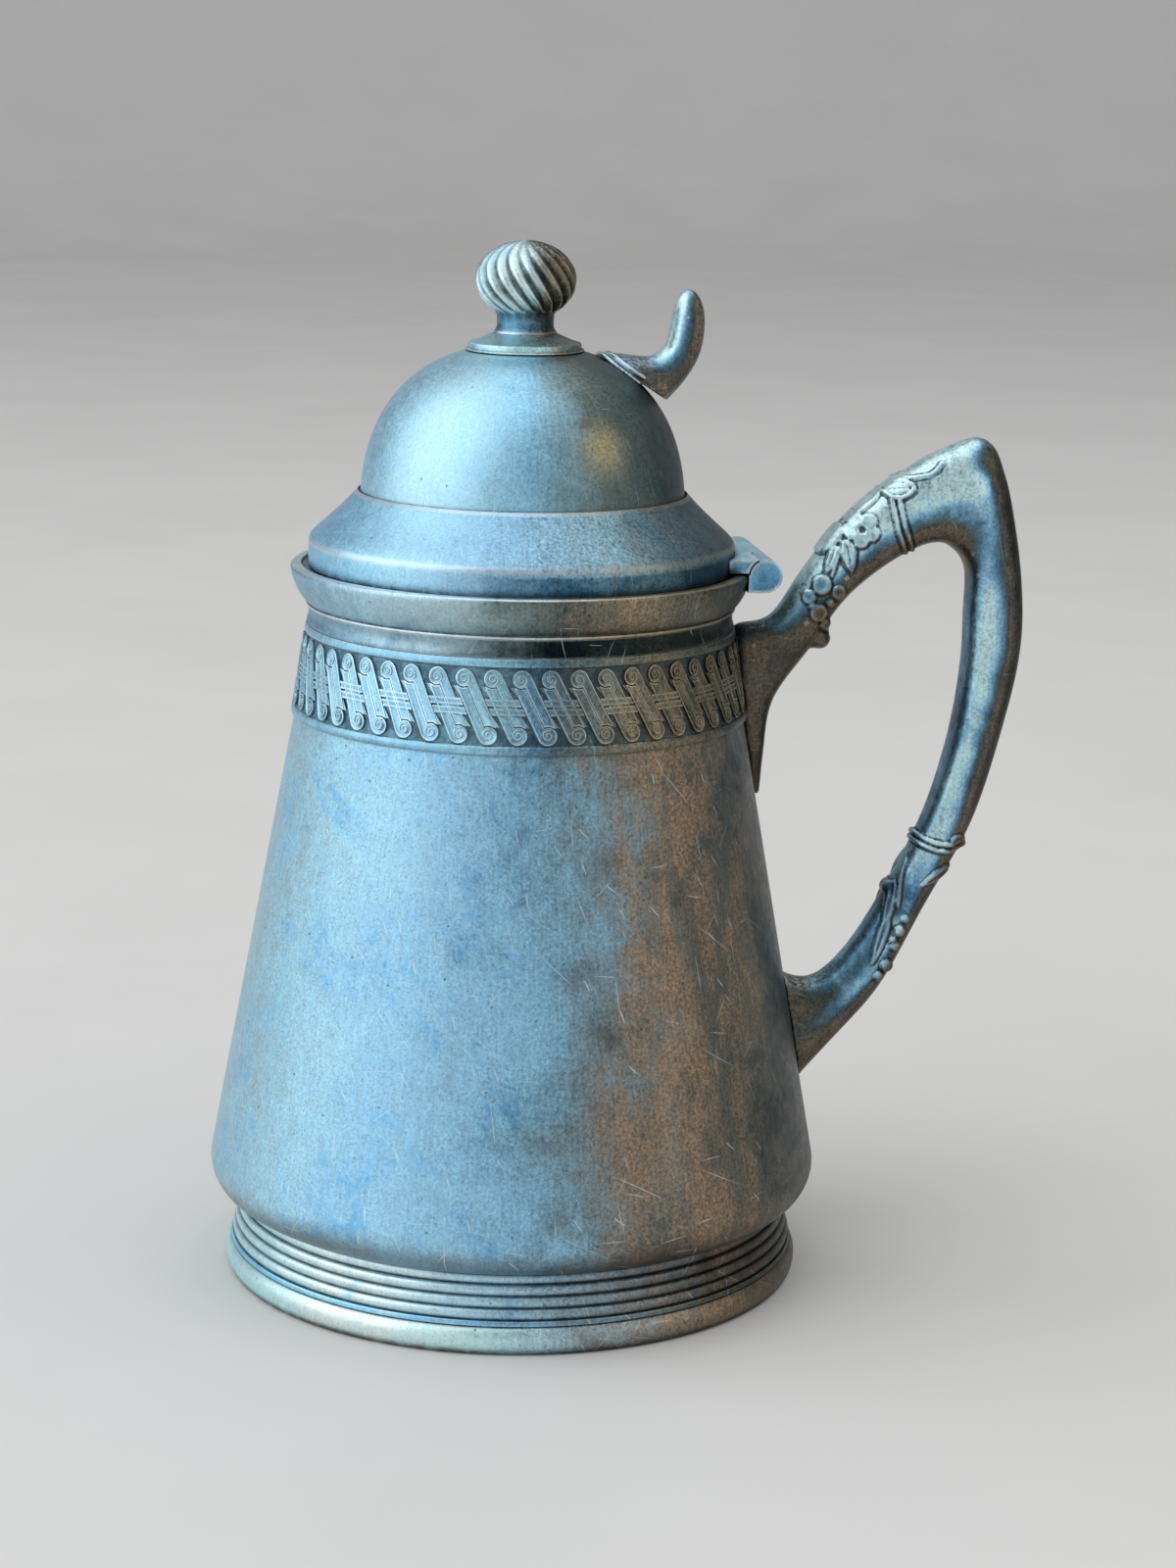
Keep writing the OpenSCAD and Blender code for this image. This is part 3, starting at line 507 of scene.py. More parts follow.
wireLook = {
    "tones": [(-1.0, (0.62, 0.96, 1.0)), (-0.65, (0.88, 1.0, 1.0)), (-0.3, (0.68, 1.0, 1.0)),
              (0.0, (0.54, 0.76, 0.88)), (0.3, (0.24, 0.27, 0.26)), (0.6, (0.22, 0.18, 0.125)),
              (1.0, (0.06, 0.052, 0.04))],
    "waver": 0.25, "rough": 0.38, "stainShare": 0.35, "mottled": 0.25, "grain": (0.6, 1.6), "underShare": 0.2,
}


def makeFoot():
    s = footSizes
    outline = [(s["topRadius"], s["topHeight"])]
    for i in range(s["reeds"]):
        r = s["topRadius"] + s["spread"] * (i + 0.5) / s["reeds"]
        z = s["topHeight"] - (i + 0.5) * s["reedHeight"]
        for k in range(11):
            a = math.radians(80.0 - 16.0 * k)
            outline.append((r + s["swell"] * math.cos(a), z + 0.5 * s["reedHeight"] * math.sin(a)))
    stepTop = s["topHeight"] - s["reeds"] * s["reedHeight"]
    topIn = s["topRadius"] - s["wall"]
    wallIn = s["wallOut"] - s["wall"]
    outline += [(s["step"] - 0.1, stepTop), (s["step"], stepTop - 0.15)]
    outline += [(s["step"], s["stepLow"] + 0.1), (s["step"] - 0.1, s["stepLow"])]
    outline += [(s["wallOut"], s["stepLow"]), (s["wallOut"], s["lift"]), (wallIn, s["lift"])]
    outline += [(wallIn, stepTop - 0.15), (topIn, s["topHeight"] - s["wall"]), (topIn, s["topHeight"])]
    plate = silverPlate("old_plate_foot", footLook)
    finishPiece(turnOutline(outline), "spun_foot", "pitcher", ["foot_ring"], plate)


def makeWire():
    s = wireSizes
    outline = [(s["inner"], 0.0), (s["radius"], 0.0)]
    for k in range(1, 16):
        a = math.radians(-90.0 + 180.0 * k / 16)
        outline.append((s["radius"] + s["swell"] * math.cos(a), s["half"] * (1.0 + math.sin(a))))
    outline += [(s["radius"], 2 * s["half"]), (s["inner"], 2 * s["half"])]
    plate = silverPlate("old_plate_wire", wireLook)
    finishPiece(turnOutline(outline), "foot_wire", "pitcher", ["foot_bead"], plate)


makeFoot()
makeWire()
print("body and foot made")


# Strapwork band: pairs of crooked straps with scrolled ends, every second pair tied by a ribbed bar

bandSizes = {"low": (38.95, 98.0), "high": (36.477, 113.3), "fillet": 1.4, "ground": 0.35, "backStep": 1.0}
strapSizes = {"repeats": 25, "lean": 26.0, "shaft": 1.65, "reach": 4.9, "scrollTurn": 262.0,
              "scrollDraw": 0.38, "gap": 0.2, "sunk": 0.13, "root": 0.15, "overTop": 0.46, "underTop": 0.34,
              "start": -93.2}
barSizes = {"half": 2.75, "top": 0.42, "ridges": (-1.12, -0.32, 0.32, 1.12), "ridge": 0.34,
            "strips": (-0.72, 0.72), "strip": 0.6, "stripTop": 0.31, "stripRoot": 0.14}
bandLook = {
    "tones": [(-1.0, (0.43, 0.80, 1.0)), (-0.6, (0.38, 0.73, 0.97)), (-0.27, (0.45, 0.83, 1.0)),
              (-0.05, (0.18, 0.38, 0.56)), (0.15, (0.15, 0.23, 0.25)), (0.35, (0.22, 0.22, 0.165)),
              (0.65, (0.12, 0.13, 0.10)), (1.0, (0.03, 0.035, 0.03))],
    "waver": 0.25, "relief": True, "wearAndHighlight": (0.72, 0.92, 1.0, 1.0), "wearAndHighlightShare": 0.6, "rough": 0.36,
    "tarnishAndShade": (0.018, 0.042, 0.06, 1.0), "copperShare": 0.5,
}


def bandFace(z):
    (lowR, lowZ), (highR, highZ) = bandSizes["low"], bandSizes["high"]
    return lowR + (highR - lowR) * (z - lowZ) / (highZ - lowZ)


def scrollRadius(angle):
    s = strapSizes
    return s["shaft"] - s["scrollDraw"] * angle / s["scrollTurn"]


def strapOutline():
    # One crook: a shaft with a scroll at its upper end, and a hollow below for its neighbour's scroll
    s = strapSizes
    outline = []
    for a in (258.0, 232.0, 206.0):
        r = scrollRadius(a) + s["gap"]
        outline.append((-r * math.cos(math.radians(a)), -s["reach"] - r * math.sin(math.radians(a))))
    outline += [(s["shaft"], -s["reach"] + 0.5), (s["shaft"], s["reach"])]
    for k in range(1, 14):
        a = s["scrollTurn"] * k / 13
        r = scrollRadius(a)
        outline.append((r * math.cos(math.radians(a)), s["reach"] + r * math.sin(math.radians(a))))
    return outline + [(0.05, s["reach"] - 1.27), (0.05, -s["reach"] + 1.5)]


def addStrap(bm, top, half):
    # half is 1, or -1 for the strap that is turned end for end
    s = strapSizes
    face = bm.faces.new([bm.verts.new((half * u, half * w, -s["root"])) for u, w in strapOutline()])
    raised = bmesh.ops.extrude_face_region(bm, geom=[face])["geom"]
    lid = [g for g in raised if isinstance(g, bmesh.types.BMFace)]
    corners = [g for g in raised if isinstance(g, bmesh.types.BMVert)]
    bmesh.ops.translate(bm, verts=corners, vec=(0.0, 0.0, top + s["root"]))
    for thickness, depth in ((0.09, 0.03), (0.10, 0.0), (0.10, -s["sunk"])):  # a rim round a sunk face
        bmesh.ops.inset_region(bm, faces=lid, thickness=thickness, depth=depth, use_even_offset=True)
    ridge = []  # spiral on the scroll, from the rim in to the eye
    for k in range(22):
        a = math.radians(s["scrollTurn"] - 40.0 + 24.0 * k)
        r = 0.98 - 0.036 * k
        ridge.append((half * r * math.cos(a), half * (s["reach"] + r * math.sin(a)), top - 0.6 * s["sunk"]))
    addTube(bm, ridge, 0.12)


def addTube(bm, points, radius):
    shape = bpy.data.curves.new("line", "CURVE")
    shape.dimensions = "3D"
    shape.bevel_depth = radius
    shape.bevel_resolution = 2
    shape.use_fill_caps = True
    line = shape.splines.new("POLY")
    line.points.add(len(points) - 1)
    for point, place in zip(line.points, points):
        point.co = (*place, 1.0)
    holder = bpy.data.objects.new("line", shape)
    bpy.context.collection.objects.link(holder)
    graph = bpy.context.evaluated_depsgraph_get()
    mesh = bpy.data.meshes.new_from_object(holder.evaluated_get(graph))
    bm.from_mesh(mesh)
    bpy.data.objects.remove(holder)
    bpy.data.curves.remove(shape)
    bpy.data.meshes.remove(mesh)


def addBar(bm, shift):
    # The tie: fine ridges with lower strips between them, stepped along the lean of the straps
    s = barSizes
    slope = math.tan(math.radians(strapSizes["lean"]))
    rows = [(v, s["ridge"], s["top"], strapSizes["root"]) for v in s["ridges"]]
    rows += [(v, s["strip"], s["stripTop"], s["stripRoot"]) for v in s["strips"]]
    for v, width, top, root in rows:
        made = bmesh.ops.create_cube(bm, size=1.0)
        bmesh.ops.scale(bm, verts=made["verts"], vec=(2 * s["half"], width, top + root))
        bmesh.ops.translate(bm, verts=made["verts"], vec=(shift - v * slope, v, 0.5 * (top - root)))


def bandRing():
    b = bandSizes
    (lowR, lowZ), (highR, highZ) = b["low"], b["high"]
    low, high = lowZ + b["fillet"], highZ - b["fillet"]  # edges of the sunk ground
    outline = [(lowR - b["backStep"], lowZ), (lowR - 0.12, lowZ), (lowR, lowZ + 0.15)]
    outline += [(bandFace(low - 0.25) + 0.05, low - 0.25), (bandFace(low) - 0.1, low)]
    outline += [(bandFace(low) - b["ground"], low + 0.12), (bandFace(high) - b["ground"], high - 0.12)]
    outline += [(bandFace(high) - 0.1, high), (bandFace(high + 0.25) + 0.05, high + 0.25)]
    outline += [(highR, highZ - 0.15), (highR - 0.12, highZ), (highR - b["backStep"], highZ)]
    bm = turnOutline(outline)
    layer = bm.verts.layers.float.new("relief")
    for vert in bm.verts:
        z = vert.co.z / mm
        r = math.hypot(vert.co.x, vert.co.y) / mm
        vert[layer] = 0.0 if low < z < high and r < bandFace(z) - 0.2 else 0.7
    return bm


def bandRelief():
    # One flat repeat of straps and bar, wrapped round the cone and copied
    b, s = bandSizes, strapSizes
    middle = 0.5 * (b["low"][1] + b["high"][1])
    pitch = 2 * math.pi * bandFace(middle) / s["repeats"]
    lean = math.radians(s["lean"])
    relief = bmesh.new()
    layer = relief.verts.layers.float.new("relief")
    for shift, top in ((0.0, s["overTop"]), (0.5 * pitch, s["underTop"])):
        for half in (1, -1):
            strap = bmesh.new()
            addStrap(strap, top, half)
            strapLayer = strap.verts.layers.float.new("relief")
            for vert in strap.verts:
                vert[strapLayer] = min(max(vert.co.z / top, 0.0), 1.0)
                u, w = vert.co.x, vert.co.y
                vert.co.x = shift + u * math.cos(lean) - w * math.sin(lean)
                vert.co.y = u * math.sin(lean) + w * math.cos(lean)
            joinInto(relief, strap)
    strapVerts = len(relief.verts)
    addBar(relief, 0.5 * pitch)
    relief.verts.ensure_lookup_table()
    for vert in relief.verts[strapVerts:]:
        vert[layer] = 0.92 if vert.co.z > 0.9 * barSizes["top"] else 0.4
    bmesh.ops.recalc_face_normals(relief, faces=relief.faces)
    for vert in relief.verts:
        along, up, height = vert.co
        r = bandFace(middle + up) - b["ground"] + height
        a = math.radians(s["start"]) + along / bandFace(middle)
        vert.co = (r * math.cos(a) * mm, r * math.sin(a) * mm, (middle + up) * mm)
    copies = s["repeats"] - 1
    repeat = relief.verts[:] + relief.edges[:] + relief.faces[:]
    bmesh.ops.spin(relief, geom=repeat, cent=(0, 0, 0), axis=(0, 0, 1),
                   angle=2 * math.pi * copies / s["repeats"], steps=copies, use_duplicate=True)
    return relief


def makeBand():
    bm = bandRing()
    joinInto(bm, bandRelief())
    plate = silverPlate("old_plate_band", bandLook)
    finishPiece(bm, "strapwork_band", "pitcher", ["ornament_band"], plate, 50.0)


makeBand()
print("strapwork band made")


# Rim collar: a cove, a thin bead, a swelling ovolo and a round lip, cut flat behind for the hinge

collarSizes = {"wall": 0.75, "foot": 113.35, "bead": 116.85, "beadOut": 0.28, "lip": (39.077, 122.7),
               "lipTop": 123.4, "seat": (37.077, 122.9), "notch": (36.627, 14.05, 120.35), "seam": 0.05}
collarLook = {
    "tones": [(-1.0, (0.28, 0.50, 0.66)), (-0.75, (0.48, 0.72, 0.85)), (-0.45, (0.46, 0.64, 0.70)),
              (-0.15, (0.18, 0.24, 0.23)), (0.1, (0.12, 0.135, 0.12)), (0.35, (0.24, 0.215, 0.155)),
              (0.6, (0.11, 0.115, 0.095)), (1.0, (0.02, 0.025, 0.022))],
    "waver": 0.3, "underShare": 0.15, "wearAndHighlightShare": 0.9, "mottled": 0.6,
    # painted highlight lines on the bead and the lip
    "crests": [(116.75, 0.35, 0.9), (123.3, 0.25, 0.9)],
    "zones": [{"low": 113.2, "high": 116.7, "soft": 0.6, "tint": (0.03, 0.085, 0.13, 1.0), "shares": (0.2, 1.0),
               "broken": 0.1}],
}


def collarOutline():
    s = collarSizes
    inside = bodySizes["neckRadius"] + s["seam"]
    r = bodySizes["neckRadius"] + s["wall"]
    foot, bead = s["foot"], s["bead"]
    edge, lipZ = s["lip"]
    swell = lipZ - bead
    outline = [(inside, foot), (r, foot), (r + 0.1, foot + 0.35), (r, foot + 0.75)]
    outline += [(r - 0.2, foot + 1.3), (r - 0.25, foot + 2.0), (r - 0.1, foot + 2.7)]
    for k in range(7):
        a = math.radians(-90.0 + 30.0 * k)
        outline.append((r + s["beadOut"] * max(math.cos(a), 0.0), bead - 0.12 + 0.3 * math.sin(a)))
    outline += cubicPoints((r, bead + 0.25), (r + 0.35 * (edge - r), bead + 0.12 * swell),
                           (edge - 0.36, bead + 0.55 * swell), (edge, lipZ), 14)
    outline += [(edge - 0.06, lipZ + 0.3), (edge - 0.21, lipZ + 0.5), (edge - 0.42, s["lipTop"] - 0.06)]
    outline += [(edge - 0.7, s["lipTop"]), (s["seat"][0] + 0.25, s["lipTop"]), s["seat"]]
    return outline + [(inside, s["seat"][1])]


def makeCollar():
    ring = looseObject(turnOutline(collarOutline()), "collar")
    flat, half, low = collarSizes["notch"]
    size = 10.0
    knife = bmesh.new()
    bmesh.ops.create_cube(knife, size=1.0)
    bmesh.ops.scale(knife, verts=knife.verts, vec=(size * mm, 2 * half * mm, size * mm))
    bmesh.ops.translate(knife, verts=knife.verts, vec=((flat + 0.5 * size) * mm, 0.0, (low + 0.5 * size) * mm))
    box = looseObject(knife, "notch")
    cut = ring.modifiers.new("notch", "BOOLEAN")
    cut.object = box
    cut.operation = "DIFFERENCE"
    bm = applied(ring)
    bpy.data.objects.remove(box)
    plate = silverPlate("old_plate_collar", collarLook)
    finishPiece(bm, "spun_collar", "pitcher", ["rim_collar"], plate, 42.0)


makeCollar()


# Lid: upright edge and sloping skirt, dome, and the ring that drops into the mouth

lidSizes = {"radius": 36.077, "low": 123.1, "edge": 127.3, "crease": 135.8, "creaseRadius": 27.4,
            "creaseGap": 0.5, "groove": 0.45, "ledge": 24.8, "wall": 1.2, "domeLow": 135.85,
            "domeHeight": 24.8, "studHole": 1.6}
bezelSizes = {"out": 33.377, "low": 118.9, "flangeOut": 34.827, "flange": 123.3, "top": 124.5, "edge": 0.3}
skirtLook = {
    "tones": [(-1.0, (0.34, 0.68, 0.94)), (-0.7, (0.42, 0.76, 0.96)), (-0.45, (0.38, 0.68, 0.90)),
              (-0.15, (0.30, 0.55, 0.76)), (0.15, (0.27, 0.46, 0.57)), (0.4, (0.24, 0.41, 0.49)),
              (0.7, (0.11, 0.20, 0.24)), (1.0, (0.05, 0.09, 0.11))],
    "waver": 0.2, "copperShare": 0.3, "stainShare": 0.4, "dustShare": 0.06, "scratchShare": 0.3,
    # painted highlight lines at the skirt's lower edge and by the crease
    "crests": [(127.5, 0.8, 0.75), (135.6, 0.5, 0.8)],
    "zones": [{"low": 123.0, "high": 126.7, "soft": 0.6, "tint": (0.16, 0.31, 0.40, 1.0), "shares": (-0.5, 1.0),
               "broken": 0.3}],
}
domeLook = {
    "tones": [(-1.0, (0.40, 0.72, 0.92)), (-0.7, (0.50, 0.80, 0.93)), (-0.4, (0.44, 0.78, 0.97)),
              (-0.1, (0.37, 0.73, 0.98)), (0.12, (0.26, 0.45, 0.54)), (0.35, (0.12, 0.165, 0.155)),
              (0.7, (0.09, 0.13, 0.13)), (1.0, (0.02, 0.035, 0.04))],
    "waver": 0.18, "copperShare": 0.1, "stainShare": 0.4, "dustShare": 0.12, "grain": (0.7, 1.5),
    "etching": (0.12, 0.2), "mottled": 0.2, "scratchShare": 0.3,
    # a painted warm reflection of a lamp on the dome's right side
    "warmReflection": {"centre": (10.2, -22.9, 145.8), "reach": 9.0, "colour": (0.58, 0.48, 0.24, 1.0), "share": 0.65},
}


def domeCurve(radius, height, steps):
    z = lidSizes["domeLow"]
    return cubicPoints((radius, z), (0.956 * radius, z + 0.665 * height), (0.584 * radius, z + height),
                       (0.0, z + height), steps)


def skirtOutline():
    s = lidSizes
    r, w, edge, crease = s["radius"], s["wall"], s["edge"], s["crease"]
    lip = s["creaseRadius"] + s["creaseGap"]
    rise = crease - edge
    slant = cubicPoints((r, edge), (r, edge + 0.16 * rise), (r - 0.42 * (r - lip), edge + 0.36 * rise),
                        (lip, crease), 16)
    outline = [(r - 0.15, s["low"]), (r, s["low"] + 0.15), (r, s["low"] + 2.0)] + slant
    outline += [(lip - 0.06, crease + 0.03), (lip - 0.14, crease - 0.05), (lip - 0.2, crease - s["groove"])]
    outline += [(lip - 0.36, crease - s["groove"]), (lip - 0.5, crease + 0.02)]
    outline += [(s["ledge"], crease + 0.02), (s["ledge"], crease - w)]
    outline += [(x - 0.7 * w, z - 0.75 * w) for x, z in reversed(slant[4:])]
    return outline + [(r - w, edge), (r - w, s["low"])]


def domeOutline():
    s = lidSizes
    w, hole = s["wall"], s["studHole"]
    outer = [p for p in domeCurve(s["creaseRadius"], s["domeHeight"], 40) if p[0] > hole]
    inner = [p for p in domeCurve(s["creaseRadius"] - w, s["domeHeight"] - w, 30) if p[0] > hole]
    top = s["domeLow"] + s["domeHeight"]
    return outer + [(hole, top), (hole, top - w)] + inner[::-1]


def bezelOutline():
    s = bezelSizes
    out, low, edge = s["out"], s["low"], s["edge"]
    inside = out - lidSizes["wall"]
    outline = [(out - edge, low), (out, low + edge), (out, s["flange"]), (s["flangeOut"], s["flange"])]
    outline += [(s["flangeOut"], s["top"]), (inside, s["top"]), (inside, low + edge), (inside + edge, low)]
    return outline


def makeLid():
    skirtPlate = silverPlate("old_plate_skirt", skirtLook)
    domePlate = silverPlate("old_plate_dome", domeLook)
    skirt, dome, bezel = [turnOutline(line) for line in (skirtOutline(), domeOutline(), bezelOutline())]
    finishPiece(skirt, "lid_skirt_spun", "lid", ["lid_skirt"], skirtPlate, 40.0)
    finishPiece(dome, "lid_dome_spun", "lid", ["lid_dome"], domePlate)
    finishPiece(bezel, "lid_bezel_ring", "lid", ["lid_bezel"], skirtPlate)


makeLid()
print("collar and lid made")


# Finial: a stepped plate, and a knob with spiral flutes on a short neck

stepSizes = {"radius": 10.0, "step": 9.5, "rim": 1.3, "top": 162.35, "seam": 0.05}
stepLook = {
    "tones": [(-1.0, (0.40, 0.76, 0.90)), (-0.4, (0.62, 0.96, 1.0)), (0.1, (0.60, 0.95, 1.0)),
              (0.5, (0.20, 0.30, 0.31)), (1.0, (0.03, 0.05, 0.05))],
    "waver": 0.3, "dustShare": 0.5, "wearAndHighlightShare": 0.8,
}
knobSizes = {"neck": 4.9, "radius": 8.5, "low": 166.0, "height": 11.7, "lowAngle": -52.0, "highAngle": 84.0,
             "flutes": 18, "turn": 62.0, "bend": 1.6, "depth": 0.15, "fade": 0.06, "stepsPerFlute": 16,
             "thread": 7.0}
knobLook = {
    "tones": [(-1.0, (0.26, 0.50, 0.58)), (-0.75, (0.56, 0.86, 0.90)), (-0.4, (0.80, 1.0, 1.0)),
              (-0.1, (0.60, 0.80, 0.82)), (0.15, (0.25, 0.35, 0.35)), (0.45, (0.06, 0.085, 0.08)),
              (1.0, (0.015, 0.03, 0.04))],
    "waver": 0.4, "dense": True, "rough": 0.34, "wearAndHighlightShare": 0.55, "mottled": 0.8, "tarnishAndShadeReach": 0.003,
    "scratchShare": 0.2,
    # painted shade on the neck under the knob's overhang
    "zones": [{"low": 162.2, "high": 166.3, "soft": 0.6, "tint": (0.22, 0.47, 0.68, 1.0), "shares": (0.9, 0.9),
               "broken": 0.3}],
}


def makeStep():
    s = stepSizes
    hole = lidSizes["studHole"]
    domeTop = lidSizes["domeLow"] + lidSizes["domeHeight"]
    r, step = s["radius"], s["step"]
    dome = domeCurve(lidSizes["creaseRadius"], lidSizes["domeHeight"], 60)
    seat = [(x, z + 0.04) for x, z in dome if hole < x < r]
    edge = seat[0][1] + s["seam"]
    rim = edge + s["rim"]
    outline = seat + [(hole, domeTop + s["seam"]), (hole, s["top"])]
    outline += [(knobSizes["neck"] + 0.5, s["top"]), (step - 0.55, rim - 0.02), (step - 0.25, rim)]
    outline += [(step - 0.06, rim - 0.1), (step, rim - 0.28), (step, edge + 0.25)]
    outline += [(r - 0.1, edge + 0.22), (r, edge + 0.12), (r, edge)]
    plate = silverPlate("old_plate_step", stepLook)
    finishPiece(turnOutline(outline), "finial_base", "lid", ["finial_plate"], plate, 30.0)


def knobOutline(foot, first, last):
    s = knobSizes
    hole, neck, low = lidSizes["studHole"], s["neck"], s["low"]
    outline = [(hole, foot), (neck + 0.42, foot), (neck + 0.4, foot + 0.3), (neck + 0.1, foot + 0.55)]
    outline += [(neck - 0.12, foot + 1.0), (neck - 0.15, 0.5 * (foot + low)), (neck - 0.05, low - 0.5)]
    for k in range(45):
        a = math.radians(s["lowAngle"] + (s["highAngle"] - s["lowAngle"]) * k / 44)
        outline.append((s["radius"] * math.cos(a), low + s["height"] * (math.sin(a) - first) / (last - first)))
    return outline + [(0.0, low + s["height"]), (0.0, foot + s["thread"]), (hole, foot + s["thread"])]


def makeKnob():
    s = knobSizes
    foot = stepSizes["top"] + stepSizes["seam"]
    first, last = math.sin(math.radians(s["lowAngle"])), math.sin(math.radians(s["highAngle"]))
    bm = turnOutline(knobOutline(foot, first, last), s["flutes"] * s["stepsPerFlute"])
    for vert in bm.verts:
        radius = math.hypot(vert.co.x, vert.co.y) / mm
        up = vert.co.z / mm - s["low"]
        if up < 0.01 or radius < 2.0 and vert.co.z / mm < foot + s["thread"] + 0.1:
            continue
        lift = math.degrees(math.asin(min(max(up / s["height"] * (last - first) + first, -1.0), 1.0)))
        share = min(max((lift - s["lowAngle"]) / (s["highAngle"] - s["lowAngle"]), 0.0), 1.0)
        turn = math.radians(s["turn"]) * (1.0 - share) ** s["bend"]
        lobe = abs(math.sin(s["flutes"] / 2 * (math.atan2(vert.co.y, vert.co.x) - turn)))
        cut = 1.0 - s["depth"] * min(share / s["fade"], 1.0) * (1.0 - lobe)
        vert.co.x *= cut
        vert.co.y *= cut
    plate = silverPlate("old_plate_knob", knobLook)
    finishPiece(bm, "fluted_knob", "lid", ["finial_knob"], plate, 70.0)


makeStep()
makeKnob()
print("finial made")


# Castings: a smooth fine copy of the bar, with the ornaments raised on both sides.
# Their places are X and Z on the side view, and at each spot the highest ornament counts.

# tones of the castings, from the painted lit side at -1 to the painted shaded side at 1
castTones = [(-1.0, (0.66, 0.94, 1.0)), (-0.8, (0.57, 0.88, 1.0)), (-0.58, (0.26, 0.51, 0.70)),
             (-0.36, (0.10, 0.21, 0.29)), (-0.1, (0.075, 0.09, 0.085)), (0.2, (0.13, 0.115, 0.088)),
             (0.5, (0.078, 0.08, 0.07)), (1.0, (0.016, 0.017, 0.016))]


def smoothCopy(node, sizes):
    bm = mergedCopy(node)
    bmesh.ops.join_triangles(bm, faces=bm.faces, angle_face_threshold=math.radians(25.0),
                             angle_shape_threshold=math.pi)
    creases = bm.edges.layers.float.new("crease_edge")
    for edge in bm.edges:
        if edge.calc_face_angle(0.0) > math.radians(50.0):
            edge[creases] = 1.0
    held = looseObject(bm, node + "_bar")
    rounder = held.modifiers.new("rounder", "SUBSURF")
    rounder.levels = 2
    rounder.render_levels = 2
    fuse = held.modifiers.new("fuse", "REMESH")
    fuse.mode = "VOXEL"
    fuse.voxel_size = sizes["voxel"] * mm
    even = held.modifiers.new("even", "SMOOTH")
    even.factor = 0.5
    even.iterations = sizes["soften"]
    return applied(held)


def awayFrom(spots, path):
    # Distance from each spot to a line through the given points
    best = np.full(len(spots), 1e6)
    for a, b in zip(path, path[1:]):
        run = np.subtract(b, a)
        share = np.clip((spots - a) @ run / (run @ run), 0.0, 1.0)
        best = np.minimum(best, np.linalg.norm(spots - a - share[:, None] * run, axis=1))
    return best


def halfRound(away, half, rise):
    return rise * np.sqrt(np.clip(1.0 - (away / half) ** 2, 0.0, 1.0))


def cupHeights(spots, centre, radius, rise, dish):
    away = np.linalg.norm(spots - np.array(centre), axis=1) / radius
    hollow = np.clip(1.0 - (away / 0.78) ** 2, 0.0, 1.0)
    return halfRound(away, 1.0, rise) - dish * hollow


def leafHeights(spots, leaf):
    root, tip = np.array(leaf["from"]), np.array(leaf["to"])
    run = tip - root
    share = np.clip((spots - root) @ run / (run @ run), 0.001, 0.999)
    away = np.linalg.norm(spots - root - share[:, None] * run, axis=1)
    half = 0.5 * leaf["width"] * np.sin(np.pi * share ** 0.75) ** 0.7 + 0.05
    groove = 0.4 * leaf["rise"] * np.exp(-(away / 0.24) ** 2)
    return np.where(away < half, halfRound(away, half, leaf["rise"]) - groove, 0.0)


def blossomHeights(spots, flower):
    heights = np.zeros(len(spots))
    centre = np.array(flower["centre"])
    for i in range(flower["petals"]):
        a = math.radians(flower["turn"]) + 2 * math.pi * i / flower["petals"]
        petal = centre + flower["ring"] * np.array([math.cos(a), math.sin(a)])
        cup = cupHeights(spots, petal, flower["petal"], flower["rise"], flower["dish"])
        heights = np.maximum(heights, cup)
    pit = np.exp(-(np.linalg.norm(spots - centre, axis=1) / flower["eye"]) ** 2)
    return heights * (1.0 - pit)


def raiseRelief(bm, heights, fade):
    # Lets the heights fade where the surface turns away from the side view
    for vert, height in zip(bm.verts, heights):
        turned = min(abs(vert.normal.y) / fade, 1.0)
        vert.co += vert.normal * (height * (0.35 + 0.65 * turned) * mm)
    bm.normal_update()


def evenOut(bm, factor):
    bmesh.ops.smooth_vert(bm, verts=bm.verts, factor=factor, use_axis_x=True, use_axis_y=True, use_axis_z=True)


# Handle: blossom, leaves, cups, buds, ribbons and two tied bands on the cast scroll

handleSizes = {"voxel": 0.28, "soften": 5, "fade": 0.45, "even": 0.25, "chamfer": 0.30,
               "grip": (7.5, 10.0, 15.0, 16.5)}
handleLook = {
    "tones": castTones, "waver": 0.5, "turned": False, "shaded": True, "dense": True, "rough": 0.36,
    "lit": (-0.62, 0.45, 0.64), "under": (0.20, 0.145, 0.105, 1.0), "underShare": 0.6, "copperShare": 0.2,
    "grain": (2.0, 2.4), "mottled": 1.2, "wearAndHighlightShare": 0.28, "hollows": (0.497, 0.472), "tarnishAndShadeShare": 0.95,
    "scratch": (0.64, 0.52, 0.33, 1.0), "scratchShare": 0.4,
}
blossom = {"centre": (57.9, 129.7), "petals": 5, "turn": 50.0, "ring": 1.8, "petal": 1.38, "rise": 0.85,
           "dish": 0.5, "eye": 0.6}
handleLeaves = [
    {"from": (55.2, 127.9), "to": (56.3, 122.3), "width": 3.0, "rise": 0.75},
    {"from": (53.8, 126.8), "to": (51.8, 122.0), "width": 1.9, "rise": 0.65},
    {"from": (54.8, 130.4), "to": (51.0, 125.2), "width": 2.5, "rise": 0.95},
    {"from": (61.5, 136.4), "to": (67.0, 137.0), "width": 3.2, "rise": 0.5},
    {"from": (76.4, 70.2), "to": (70.8, 66.8), "width": 1.9, "rise": 0.65},
    {"from": (66.5, 67.4), "to": (64.3, 58.4), "width": 1.9, "rise": 0.6},
    {"from": (65.3, 61.4), "to": (62.6, 52.6), "width": 2.2, "rise": 0.7},
]
